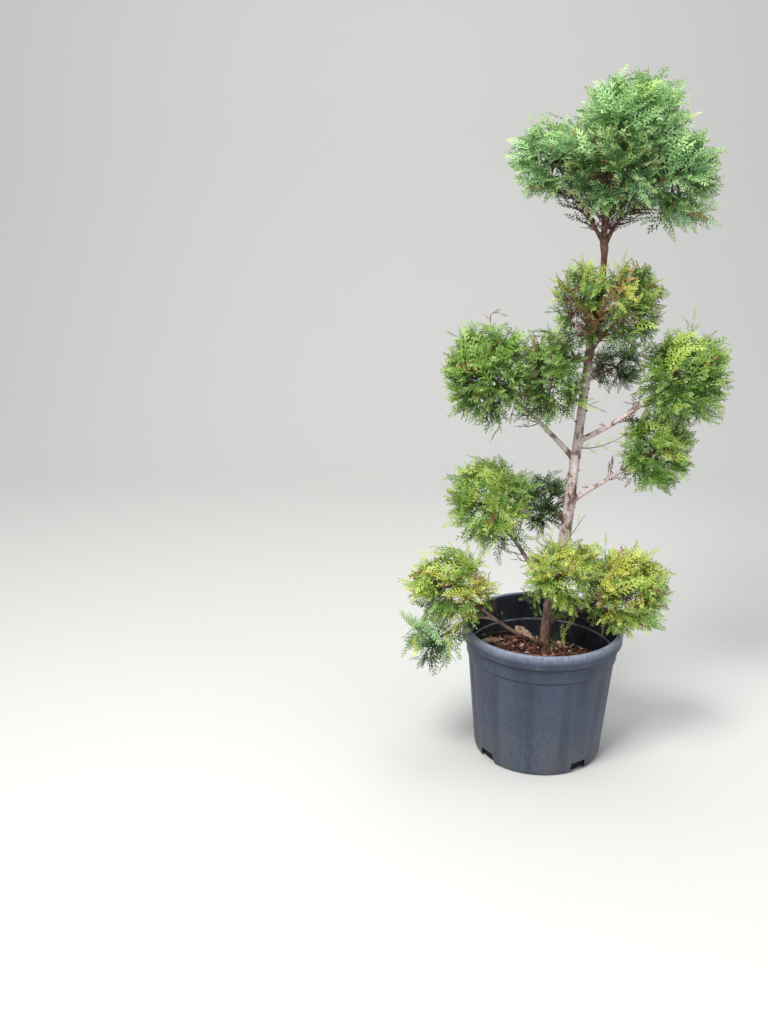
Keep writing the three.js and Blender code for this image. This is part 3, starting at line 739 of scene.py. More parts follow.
# %% Table of tufts, in millimetres
TUFTS = {
    "head_left": ([-20, -8, 1152], [86, 78, 78], 1008, [42, 8, 1064], 4.6, "head"),
    "head_top": ([112, 0, 1216], [106, 88, 90], TRUNK_TOP, [83, 17, 1098], 5.4, "crest"),
    "head_right": ([192, -5, 1125], [86, 80, 94], 1000, [114, 14, 1062], 4.8, "head"),
    "head_front": ([66, -82, 1138], [92, 70, 82], 1012, [75, -12, 1066], 4, "brow"),
    "head_back": ([104, 85, 1152], [104, 76, 90], 1004, [88, 52, 1070], 4.2, "head"),
    "collar_left": ([38, -22, 906], [62, 64, 88], 828, [63, 11, 848], 3.6, "collar"),
    "collar_right": ([125, -22, 902], [68, 64, 90], 810, [85, 8, 845], 4, "collar"),
    "left_outer": ([-125, -30, 780], [92, 80, 104], 603, [-8, 0, 668], 5.6, "left"),
    "left_inner": ([-6, -12, 778], [76, 68, 96], 800, [38, 8, 806], 4, "left"),
    "right": ([234, -10, 770], [96, 84, 102], 640, [118, 8, 682], 5.6, "right"),
    "right_low": ([203, 22, 622], [82, 74, 92], 520, [100, 26, 554], 4.6, "right"),
    "back": ([130, 82, 773], [60, 60, 56], 752, [86, 52, 762], 3.2, "shade"),
    "mid_left": ([-112, 20, 517], [92, 82, 98], 300, [-24, 20, 386], 5.6, "middle"),
    "mid_back": ([10, 90, 494], [64, 64, 70], 452, [37, 46, 472], 3.6, "shade"),
    "low_front": ([30, -62, 402], [88, 70, 80], 318, [18, -14, 350], 4, "skirt"),
    "low_right": ([146, -60, 366], [94, 80, 96], 262, [54, -16, 304], 5, "hem"),
    "low_left": ([-184, -60, 374], [96, 82, 86], 214, [-62, -30, 268], 6.2, "olive"),
    "low_droop": ([-220, -70, 268], [60, 52, 72], 0.78, [-148, -54, 306], 3.4, "droop"),
}
PARENTS = {"low_droop": "low_left"}
TURNED_DOWN = ["low_droop"]
BOUGH_TAPER = 0.62
ENTRY_LEVEL = 0.84
FENCE_MARGIN = 0.5
TWIG_AREA = 800
ROUGH_POINTS = 12


# %% Where each bough runs, and the space each tuft keeps to
class Tuft:
    """One tuft: its middle, its reach, its bough's curve and the planes that part it from the others."""

    def __init__(self, name, row, seed):
        at, reach, self.source, via, self.radius, self.palette = row
        self.name = name
        self.seed = seed
        self.middle = np.array(at, float)
        self.radii = np.array(reach, float)
        self.via = np.array(via, float)
        self.turn = -1 if name in TURNED_DOWN else 1
        self.tip_radius = self.radius * BOUGH_TAPER
        self.size = self.radii.mean()
        self.twigs = round(self.size ** 2 / TWIG_AREA)
        self.outermost = 1

    def reach_along(self, way):
        return 1 / np.linalg.norm(way / self.radii)

    def bough_point(self, share):
        return curve_at(*self.bough, share)

    def bough_radius(self, share):
        return self.radius + (self.tip_radius - self.radius) * share


tufts = {name: Tuft(name, row, order + 1) for order, (name, row) in enumerate(TUFTS.items())}
for tuft in tufts.values():
    if tuft.name in PARENTS:
        root = tufts[PARENTS[tuft.name]].bough_point(tuft.source)
    else:
        root = trunk_at(tuft.source)[0]
    inward = unit(tuft.via - tuft.middle)
    tip = tuft.middle + inward * ENTRY_LEVEL * tuft.reach_along(inward)
    before = np.linalg.norm(tuft.via - root)
    share = before / (before + np.linalg.norm(tip - tuft.via))
    bend = (tuft.via - (1 - share) ** 2 * root - share ** 2 * tip) / (2 * share * (1 - share))
    tuft.bough = (root, bend, tip)
    tuft.bough_length = length_of(curve(root, bend, tip, ROUGH_POINTS))
for tuft in tufts.values():
    others = [other for other in tufts.values() if other is not tuft]
    tuft.normals = np.array([unit(other.middle - tuft.middle) for other in others])
    limits = []
    for other, normal in zip(others, tuft.normals):
        mine = tuft.reach_along(normal)
        theirs = other.reach_along(normal)
        offset = np.linalg.norm(other.middle - tuft.middle) * mine / (mine + theirs) - FENCE_MARGIN
        limits.append(normal.dot(tuft.middle) + offset)
    tuft.limits = np.array(limits)
print("tufts:", len(tufts), "with", sum(tuft.twigs for tuft in tufts.values()), "main twigs")

# %% [markdown]
# Bark is what makes a trunk look like wood. A turned cylinder with a bark picture would have a ruler's
# edge, so the trunk's rings are pushed in and out here: long fibrous ridges low down, fine level rings
# on the younger wood above, a knot wherever a bough leaves, and lobes at the foot.

# %% Relief of the bark
FLARE = 4.5
FLARE_HEIGHT = 15
FLARE_LOBES = 3
FLARE_LOBE_DEPTH = 0.12
BARK_STEP = 2.2
BARK_SIDES = 60
RIDGE_DEPTH = 1.0
RIDGE_SIZE = 5
LUMP_DEPTH = 1.3
LUMP_SIZE = 17
YOUNG_FROM = 400
YOUNG_TO = 480
RING_DEPTH = 0.36
RING_SPACING = 5.2
KNOT_HEIGHT = 0.5
KNOT_SPREAD = 11
DOME = 9
DOME_ROUNDING = 0.8
RIDGE_STRETCH = 0.22
RIDGE_MIDDLE = 0.3
YOUNG_RIDGES_LOSE = 0.65
YOUNG_LUMPS_LOSE = 0.4
RING_WANDER = 3
RING_WANDER_SIZE = 30


def knots_at(z, turns, radius):
    """How far the bark stands out near the boughs that leave the trunk there."""
    swell = np.zeros(len(turns))
    for tuft in tufts.values():
        if tuft.name in PARENTS or abs(z - tuft.source) > 3 * KNOT_SPREAD:
            continue
        way = tuft.bough[1] - tuft.bough[0]
        bearing = math.atan2(way[1], way[0])
        round_by = radius * np.abs((turns - bearing + math.pi) % (2 * math.pi) - math.pi)
        away = (round_by / KNOT_SPREAD) ** 2 + ((z - tuft.source) / KNOT_SPREAD) ** 2
        swell = np.maximum(swell, KNOT_HEIGHT * tuft.radius * np.exp(-away))
    return swell


def bark_ring(z):
    middle, radius = trunk_at(z)
    turns = turns_round(BARK_SIDES)
    spread = FLARE * math.exp(-max(z - TRUNK_FOOT, 0) / FLARE_HEIGHT)
    reach = (radius + spread) * (1 + FLARE_LOBE_DEPTH * spread / FLARE * np.cos(FLARE_LOBES * turns + 1))
    reach += knots_at(z, turns, radius)
    reach *= math.sqrt(1 - DOME_ROUNDING * max(0, 1 - (TRUNK_TOP - z) / DOME) ** 2)
    young = np.clip((z - YOUNG_FROM) / (YOUNG_TO - YOUNG_FROM), 0, 1)
    ring = []
    for turn, far in zip(turns, reach):
        x = radius * math.cos(turn)
        y = radius * math.sin(turn)
        ridge = abs(bumps((x, y, RIDGE_STRETCH * z), RIDGE_SIZE)) - RIDGE_MIDDLE
        lump = bumps((x, y, z + 300), LUMP_SIZE, 2)
        wave = math.sin(2 * math.pi * z / RING_SPACING + RING_WANDER * bumps((x, y, z), RING_WANDER_SIZE, 1))
        far += RIDGE_DEPTH * (1 - YOUNG_RIDGES_LOSE * young) * ridge
        far += LUMP_DEPTH * (1 - YOUNG_LUMPS_LOSE * young) * lump + RING_DEPTH * young * wave
        ring.append((middle[0] + far * math.cos(turn), middle[1] + far * math.sin(turn), z))
    return ring


heights = np.arange(TRUNK_FOOT, TRUNK_TOP + BARK_STEP / 2, BARK_STEP)
trunk = make_piece("trunk_bark", *skin_of_rings([bark_ring(z) for z in heights]))
print("trunk:", len(trunk.data.polygons), "triangles")

# %% [markdown]
# A bough is a tube along its curve that thins towards its tip. Where it leaves the trunk it swells into
# a collar, as a real one does, and its bark is the trunk's on a smaller scale. Some boughs look thinner
# in the photograph than their solids are, and they are drawn so.

# %% Boughs
BOUGH_STEP = 3
BOUGH_LEAST_RINGS = 6
BOUGH_SIDES = 18
COLLAR_MOST = 0.75
COLLAR_LEAST = 0.12
COLLAR_LENGTH = 12
FORK_SWELL = 0.3
ROOT_SHARE = 0.72
BOUGH_RELIEF = 0.13
BOUGH_RELIEF_SIZE = 6
SLIMMER = {"low_left": 0.8, "head_left": 0.82, "head_right": 0.82, "head_front": 0.8, "head_back": 0.8}


def rough_tube(path, radii):
    """A tube along a path whose skin is pushed in and out by noise."""
    rings = rings_along(path, radii, BOUGH_SIDES)
    middles = path[:, None, :]
    push = np.array([[bumps(place, BOUGH_RELIEF_SIZE, 3) for place in ring] for ring in rings])
    return middles + (rings - middles) * (1 + BOUGH_RELIEF * push[:, :, None])


def outside_trunk(path):
    """How far each point of a path lies outside the trunk's skin, or 0 inside it."""
    stations = [trunk_at(min(place[2], TRUNK_TOP)) for place in path]
    away = [np.linalg.norm(place[:2] - middle[:2]) - radius
            for place, (middle, radius) in zip(path, stations)]
    return np.maximum(away, 0)


def collar_swell(tuft):
    """How much wider a bough is where it leaves the trunk than further out."""
    if tuft.name in PARENTS:
        return FORK_SWELL
    return min(COLLAR_MOST, max(COLLAR_LEAST, ROOT_SHARE * trunk_at(tuft.source)[1] / tuft.radius - 1))


boughs = {}
for tuft in tufts.values():
    count = max(BOUGH_LEAST_RINGS, round(tuft.bough_length / BOUGH_STEP))
    path = np.array(curve(*tuft.bough, count))
    collar = 1 + collar_swell(tuft) * np.exp(-outside_trunk(path) / COLLAR_LENGTH)
    radii = tuft.bough_radius(np.linspace(0, 1, count)) * collar * SLIMMER.get(tuft.name, 1)
    boughs[tuft.name] = make_piece("bough_bark_" + tuft.name, *skin_of_rings(rough_tube(path, radii)))
print("boughs:", sum(len(bough.data.polygons) for bough in boughs.values()), "triangles")

# %% Colours of the bark
REDDISH = (0.17, 0.08, 0.056)
CRACK = (0.1, 0.062, 0.052)
UMBER = (0.28, 0.19, 0.16)
ASH = (0.74, 0.62, 0.61)
PALE_ASH = (0.97, 0.9, 0.91)
GREY_STOPS = [(0.33, CRACK), (0.42, UMBER), (0.5, ASH), (0.6, ASH), (0.7, PALE_ASH)]
BROWN_STOPS = [(0.38, (0.12, 0.05, 0.035)), (0.52, (0.25, 0.13, 0.1)), (0.62, UMBER), (0.76, ASH)]
LOW_STOPS = [(0.36, (0.04, 0.018, 0.012)), (0.46, REDDISH), (0.58, UMBER), (0.7, (0.45, 0.33, 0.28))]
GREY_BAND = (0.26, 0.38)
YOUNG_BAND = (0.73, 0.83)
FIBRE_SHADE = (0.5, 0.44, 0.42)
RING_SHADE = (0.55, 0.5, 0.5)
LINE_STRENGTH = 0.55

bark, tree, shader = new_finish("tree_bark", 0.88)
colored = ramp(tree, noise_over(tree, 48, (1, 1, 0.55), detail=8, roughness=0.68), *GREY_STOPS)
fibres = noise_over(tree, 420, (1, 1, 0.12), detail=5, roughness=0.6)
rings = noise_over(tree, 300, (0.14, 0.14, 1), detail=4, roughness=0.6)
for shade in (ramp(tree, fibres, (0.36, FIBRE_SHADE), (0.56, 1)),
              ramp(tree, rings, (0.38, RING_SHADE), (0.5, 1))):
    colored = blend_colors(tree, LINE_STRENGTH, colored, shade, "MULTIPLY")
low_bark = ramp(tree, noise_over(tree, 75, (1, 1, 0.25), detail=8, roughness=0.7), *LOW_STOPS)
high_bark = ramp(tree, noise_over(tree, 90, detail=7), *BROWN_STOPS)
colored = blend_colors(tree, band_of(tree, *GREY_BAND), low_bark, colored)
colored = blend_colors(tree, band_of(tree, *YOUNG_BAND), colored, high_bark)
color_and_lift(tree, shader, colored, fibres, 0.0008, 0.7)
for limb in [trunk, *boughs.values()]:
    limb.data.materials.append(bark)

# %% [markdown]
# Foliage grows by one rule, used twice over. Main twigs start inside a tuft and point out over a ball
# of even directions. Each carries a flat spray at its end and others at its sides. Finer twigs then
# fork off the main ones and do the same, and more sprays lie over them like shingles. Every number that
# looks random comes from a seeded generator, so the plant grows the same way each time.

# %% The generator and the sizes of the rule
TWIG_START = 0.25
TWIG_END = 0.7
TWIG_BEND = 0.1
SPRAY_LENGTH = 0.78
SPRAY_WIDTH = 0.56
SPRAY_WIDEST = 0.45
SPRAY_SAMPLES = np.array([0.25, SPRAY_WIDEST, 0.75, 1])
SIDE_SPRAYS = [0.3, 0.75]
FINE_TWIG_END = 0.45
SHELL_SPRAYS = [0.7, 0.95]
INNER_SPRAYS = [0.25, 0.5]
SHELL_SHARE = 1.0
INNER_SHARE = 0.65
FLOW_SPREAD = 2.0
SHELL_TILT = 0.7
SHELL_HANG = 0.45
SPRAY_TRIES = [1.1, 0.95, 0.8, 0.65, 0.5]
SPRAY_SINK = 7
SIDE_LEAN = 0.75
SIDE_LEAN_SPREAD = 0.5
SIDE_LIFT = 0.6
REACH_SPREAD = 0.06
FINE_REACH_SPREAD = 0.26
BEARING_SPREAD = 0.5
LENGTH_SPREAD = 0.3
LIMB_MARGIN = 2
FENCE_SHARE = 0.04
BEAD_STEP = 5
BEAD_REACH = 40
FINE_TWIGS = 5
OPEN_TUFTS = {"low_droop": 2, "low_left": 4, "collar_left": 4}
FENCE_OVERLAP = 18
SHELL_REACH = 1.0
LOOSE_REACH = 1.2
LOOSE_EVERY = 4
REACH_LOW = (-292, -172, 0)
REACH_HIGH = (342, 172, 1325)
REACH_LUMPS = 0.14
LUMP_SPREAD = 0.7
CORE_SPRAYS = 24
CORE_LENGTH = 0.5
CORE_TUFT_SIZE = 80
CORE_FROM = (0.1, 0.75)
CORE_LENGTHS = (0.8, 0.4)
LAID_LIFT = 0.5
LAID_DROP = 0.15
LAID_FROM = (0.7, 0.2)
LAID_LENGTHS = (0.7, 0.5)
FORK_GOAL = 0.5
FORK_FROM = (0.2, 0.7)
GOLDEN_ANGLE = math.pi * (3 - math.sqrt(5))
WORD = 0xFFFFFFFF


def seeded(seed):
    """The same row of numbers from 0 to 1 each time, from one whole number."""
    state = seed

    def draw():
        nonlocal state
        state = (state + 0x6D2B79F5) & WORD
        mixed = (state ^ (state >> 15)) * (state | 1) & WORD
        mixed ^= (mixed + ((mixed ^ (mixed >> 7)) * (mixed | 61) & WORD)) & WORD
        return ((mixed ^ (mixed >> 14)) & WORD) / 2 ** 32

    return draw


def between(draw, least, spread):
    return least + spread * draw()


def any_way(draw):
    return unit(np.array([draw() - 0.5 for _ in range(3)]))


def even_ways(draw, count):
    """Bearings and heights spread evenly over a ball, each bearing turned on a little."""
    for index in range(count):
        yield index * GOLDEN_ANGLE + BEARING_SPREAD * draw(), 1 - (2 * index + 1) / count


# %% What a spray has to keep clear of
beads = [trunk_at(z) for z in np.arange(TRUNK_FOOT, TRUNK_TOP, BEAD_STEP)]
for tuft in tufts.values():
    shares = np.linspace(0, 1, math.ceil(tuft.bough_length / BEAD_STEP) + 1)
    beads += [(tuft.bough_point(share), tuft.bough_radius(share)) for share in shares]
bead_places = np.array([place for place, _ in beads])
bead_radii = np.array([radius for _, radius in beads])
for tuft in tufts.values():
    near = np.linalg.norm(bead_places - tuft.middle, axis=1) < tuft.radii.max() + BEAD_REACH
    tuft.beads = bead_places[near]
    tuft.bead_radii = bead_radii[near]


def is_free(tuft, points):
    """Whether points lie in a tuft's own space, off the pot and clear of every limb."""
    over_pot = points[:, 2] > POT_HEIGHT + LIMB_MARGIN
    beside_pot = np.hypot(points[:, 0], points[:, 1]) > RIM_RADIUS + LIMB_MARGIN
    level = np.linalg.norm((points - tuft.middle) / tuft.radii, axis=1)
    fenced = (points @ tuft.normals.T <= tuft.limits).all(axis=1)
    boxed = ((points > REACH_LOW) & (points < REACH_HIGH)).all(axis=1)
    if not ((over_pot | beside_pot) & (level <= tuft.outermost) & fenced & boxed).all():
        return False
    away = np.linalg.norm(points[:, None, :] - tuft.beads[None], axis=2)
    return bool((away >= tuft.bead_radii + LIMB_MARGIN).all())


def fit_spray(tuft, root, heading, across, wanted):
    """A list with one flat spray, as long as its tuft has room for, or with none."""
    side = square_to(heading, across)
    taper = np.minimum(SPRAY_SAMPLES / SPRAY_WIDEST, (1 - SPRAY_SAMPLES) / (1 - SPRAY_WIDEST))
    for scale in SPRAY_TRIES:
        length = scale * wanted
        along = root + np.outer(SPRAY_SAMPLES * length, heading)
        points = [along + np.outer(hand * taper * 0.5 * SPRAY_WIDTH * length, side) for hand in (-1, 0, 1)]
        if is_free(tuft, np.concatenate(points)):
            return [(root, heading, side, length)]
    return []


# %% One twig and its sprays
def share_to_fence(tuft, spoke):
    """How far out a tuft reaches along a spoke before it meets its border with a neighbour."""
    along = tuft.normals @ spoke
    room = tuft.limits - tuft.normals @ tuft.middle
    return min(room[along > 0] / along[along > 0], default=math.inf)


def grow_twig(tuft, draw, bearing, height, spread, root_near, lumps=0, ends_at=TWIG_END):
    """A stalk with a spray at its end, which turns up or down a little, and others at its sides."""
    flat = math.sqrt(1 - height ** 2)
    way = np.array([flat * math.cos(bearing), flat * math.sin(bearing), height])
    spoke = way * tuft.radii
    lump = 1 + lumps * bumps(way + (3 * tuft.seed, 0, 0), LUMP_SPREAD, 2)
    reach = min((1 - spread * draw()) * lump, share_to_fence(tuft, spoke) - FENCE_SHARE)
    far = tuft.middle + spoke * reach
    root = root_near(spoke, reach)
    bend = (root + far) / 2
    bend[2] -= tuft.turn * TWIG_BEND * np.linalg.norm(far - root)
    tip = root + (bend - root) * ends_at
    heading = unit(far - bend)
    roll = math.pi * draw()
    across = square_to(heading, np.array([math.cos(roll), math.sin(roll), draw() - 0.5]))
    sunk = tip - heading * SPRAY_SINK
    sprays = fit_spray(tuft, sunk, heading, across, np.linalg.norm(far - sunk))
    wanted = SPRAY_LENGTH * tuft.size * (1 + LENGTH_SPREAD * (draw() - 0.5))
    for order, share in enumerate(SIDE_SPRAYS):
        lean = (-1) ** order * between(draw, SIDE_LEAN, SIDE_LEAN_SPREAD)
        rise = SIDE_LIFT * (draw() - 0.5)
        way = unit(heading + across * lean + np.cross(heading, across) * rise)
        sprays += fit_spray(tuft, root + (tip - root) * share, way, across, wanted)
    return root, tip, far, sprays


def lay_across(tuft, draw, root, far, shares, size_share):
    """Sprays that lie over a twig like shingles and point away from where the bough leaves the trunk."""
    sprays = []
    outward = unit((far - tuft.middle) / tuft.radii ** 2)
    flow = square_to(outward, far - tuft.bough[0])
    aside = np.cross(outward, flow)
    for share in shares:
        turn = FLOW_SPREAD * (draw() - 0.5)
        way = flow * math.cos(turn) + aside * math.sin(turn) + outward * LAID_LIFT * draw()
        way[2] -= SHELL_HANG * max(0, -outward[2]) + LAID_DROP
        way = unit(way)
        side = np.cross(outward, way) + outward * SHELL_TILT * (draw() - 0.5)
        start = root + (far - root) * share * between(draw, *LAID_FROM)
        wanted = size_share * SPRAY_LENGTH * tuft.size * between(draw, *LAID_LENGTHS)
        sprays += fit_spray(tuft, start, way, side, wanted)
    return sprays


def grow_core(tuft, draw, main):
    """Short sprays at any angle on the inner parts of the main twigs, which close the middle."""
    sprays = []
    for _ in range(round(CORE_SPRAYS * (tuft.size / CORE_TUFT_SIZE) ** 2)):
        tip = main[int(draw() * len(main))][1]
        root = tuft.middle + (tip - tuft.middle) * between(draw, *CORE_FROM)
        way = any_way(draw)
        side = np.cross(way, any_way(draw))
        sprays += fit_spray(tuft, root, way, side, CORE_LENGTH * tuft.size * between(draw, *CORE_LENGTHS))
    return sprays


def grow_tuft(tuft):
    """The main twigs of a tuft, then the finer ones that fork off the nearest main one."""
    draw = seeded(tuft.seed)
    main = []
    for bearing, height in even_ways(draw, tuft.twigs):
        root, tip, _, sprays = grow_twig(tuft, draw, bearing, height, REACH_SPREAD,
                                         lambda spoke, reach: tuft.middle + spoke * TWIG_START * reach)
        main.append((root, tip, sprays, []))
    starts = np.array([twig[0] for twig in main])
    ends = np.array([twig[1] for twig in main])

    def fork(spoke, reach):
        goal = tuft.middle + spoke * FORK_GOAL * reach
        nearest = np.argmin(np.linalg.norm(ends - goal, axis=1))
        return starts[nearest] + (ends[nearest] - starts[nearest]) * between(draw, *FORK_FROM)

    tuft.limits = tuft.limits + FENCE_OVERLAP
    fine = [(tuft.middle, tuft.middle, [], grow_core(tuft, draw, main))]
    count = OPEN_TUFTS.get(tuft.name, FINE_TWIGS) * tuft.twigs
    for index, (bearing, height) in enumerate(even_ways(draw, count)):
        tuft.outermost = LOOSE_REACH if index % LOOSE_EVERY == 0 else SHELL_REACH
        root, tip, far, sprays = grow_twig(tuft, draw, bearing, height, FINE_REACH_SPREAD, fork,
                                           REACH_LUMPS, FINE_TWIG_END)
        sprays += lay_across(tuft, draw, root, far, SHELL_SPRAYS, SHELL_SHARE)
        fine.append((root, tip, sprays, lay_across(tuft, draw, root, far, INNER_SPRAYS, INNER_SHARE)))
    return [twig for twig in main if twig[2]], [twig for twig in fine if twig[2] or twig[3]]


grown = {name: grow_tuft(tuft) for name, tuft in tufts.items()}
every_twig = [twig for pair in grown.values() for twigs in pair for twig in twigs]
print("long sprays:", sum(len(twig[2]) for twig in every_twig))
print("short sprays:", sum(len(twig[3]) for twig in every_twig))

# %% [markdown]
# A spray of this conifer is flat, like a feather: a midrib, branchlets to its left and right, and
# smaller ones on those, all clothed in scales too small to see from a step away. A flat card with a
# picture would show its square edge, so each branchlet here is a real splinter with four faces. Ten
# different sprays are drawn up, and each is used many times at its own size and angle.

# %% Splinters, and a spray made of them
LONG_KINDS = 6
SHORT_KINDS = 4
LATERAL_REACH = 0.34
LATERAL_ANGLE = 47
LATERAL_ANGLE_FALL = 16
LATERAL_ANGLE_SPREAD = 6
LATERAL_SIZES = (0.82, 1.12)
LATERAL_PLACES = (0.07, 0.86)
FULLNESS_AT_FOOT = 0.45
FULLNESS_GAIN = 1.9
FULLNESS_FALL = 0.7
FULLNESS_LEAST = 0.06
TWIGLET_ANGLE = 42
TWIGLET_ANGLE_SPREAD = 7
TWIGLET_SIZES = (0.8, 1.2)
TWIGLET_PLACES = (0.28, 0.62)
TWIGLET_REACH = 0.38
RIB_WIDTH = 0.03
LATERAL_WIDTH = 0.032
TWIGLET_WIDTH = 0.042
LEAVE_PLANE = 0.3
BOWS = (0.05, 0.16)
SWAYS = (-0.07, 0.07)
SPLINTER_DEPTH = 0.35
SPLINTER_WAIST = 0.42
RIB_PARTS = ((0, 0.36), (0.33, 0.7), (0.66, 1))
YOUNG_RIB = 0.6
YOUNG_LATERALS = 0.7
YOUNG_TWIGLETS = 0.62
YOUNG_OUTER_PART = 0.55
LONG_SPRAY = (15, 3, 1)
SHORT_SPRAY = (9, 2.6, 1.5)
SPLINTER_FACES = np.array([(0, 2, 1), (0, 1, 3), (0, 3, 2), (1, 2, 3)])


def splinter(start, end, width):
    """Four points of a thin blade between two places in the plane of the spray."""
    along = end - start
    side = unit(np.array([-along[1], along[0], 0]))
    waist = start + SPLINTER_WAIST * along + (0, 0, SPLINTER_DEPTH * width)
    return [start, end, waist + side * width / 2, waist - side * width / 2]


def turned(way, degrees):
    angle = math.radians(degrees)
    return np.array([way[0] * math.cos(angle) - way[1] * math.sin(angle),
                     way[0] * math.sin(angle) + way[1] * math.cos(angle), 0])


def draw_spray(seed, laterals, twiglets, stoutness):
    """Points of one spray a unit long, its faces, and which faces are the young outer ones."""
    draw = random.Random(seed)
    ahead = np.array([1.0, 0, 0])
    blades = [splinter(ahead * start, ahead * end, stoutness * RIB_WIDTH * (1.1 - 0.5 * start))
              for start, end in RIB_PARTS]
    young = [start > YOUNG_RIB for start, _ in RIB_PARTS]
    for order in range(laterals):
        share = LATERAL_PLACES[0] + LATERAL_PLACES[1] * order / laterals
        start = ahead * share
        fullness = min(1, FULLNESS_AT_FOOT + FULLNESS_GAIN * share) * (1 - share) ** FULLNESS_FALL
        reach = LATERAL_REACH * (fullness + FULLNESS_LEAST) * draw.uniform(*LATERAL_SIZES)
        angle = LATERAL_ANGLE - LATERAL_ANGLE_FALL * share
        angle += draw.uniform(-LATERAL_ANGLE_SPREAD, LATERAL_ANGLE_SPREAD)
        way = turned(ahead, (-1) ** order * angle)
        way[2] = LEAVE_PLANE * draw.uniform(-1, 0.8)
        blades.append(splinter(start, start + way * reach, stoutness * LATERAL_WIDTH))
        young.append(share > YOUNG_LATERALS)
        count = max(2, round(twiglets * reach / LATERAL_REACH))
        for step in range(count):
            place = TWIGLET_PLACES[0] + TWIGLET_PLACES[1] * step / count
            lean = TWIGLET_ANGLE + draw.uniform(-TWIGLET_ANGLE_SPREAD, TWIGLET_ANGLE_SPREAD)
            size = TWIGLET_REACH * reach * (1.1 - 0.6 * place) * draw.uniform(*TWIGLET_SIZES)
            foot = start + way * reach * place
            fork = turned(way, (-1) ** step * lean)
            fork[2] = LEAVE_PLANE * draw.uniform(-1, 1)
            blades.append(splinter(foot, foot + fork * size, stoutness * TWIGLET_WIDTH))
            young.append(place > YOUNG_TWIGLETS or share > YOUNG_OUTER_PART)
    points = np.array(blades).reshape(-1, 3)
    bow = draw.uniform(*BOWS)
    sway = draw.uniform(*SWAYS)
    points[:, 2] -= bow * points[:, 0] ** 2 + 0.5 * points[:, 1] ** 2
    points[:, 1] += sway * points[:, 0] ** 2
    faces = (SPLINTER_FACES[None] + 4 * np.arange(len(blades))[:, None, None]).reshape(-1, 3)
    return points, faces, np.repeat(young, 4)


spray_shapes = [draw_spray(seed, *(LONG_SPRAY if seed < LONG_KINDS else SHORT_SPRAY))
                for seed in range(LONG_KINDS + SHORT_KINDS)]
print("triangles in a spray:", [len(shape[1]) for shape in spray_shapes])

# %% [markdown]
# Some fronds stand out from the tufts, where the clipping missed them or they grew again since. Each
# row under a tuft gives a place on the frond's way, the place of its tip, its length and its colours.
# A frond grows from the nearest twig, ends in one spray and has others on both sides of its stem. A few
# long sprigs on the trunk and between the tufts are made the same way.

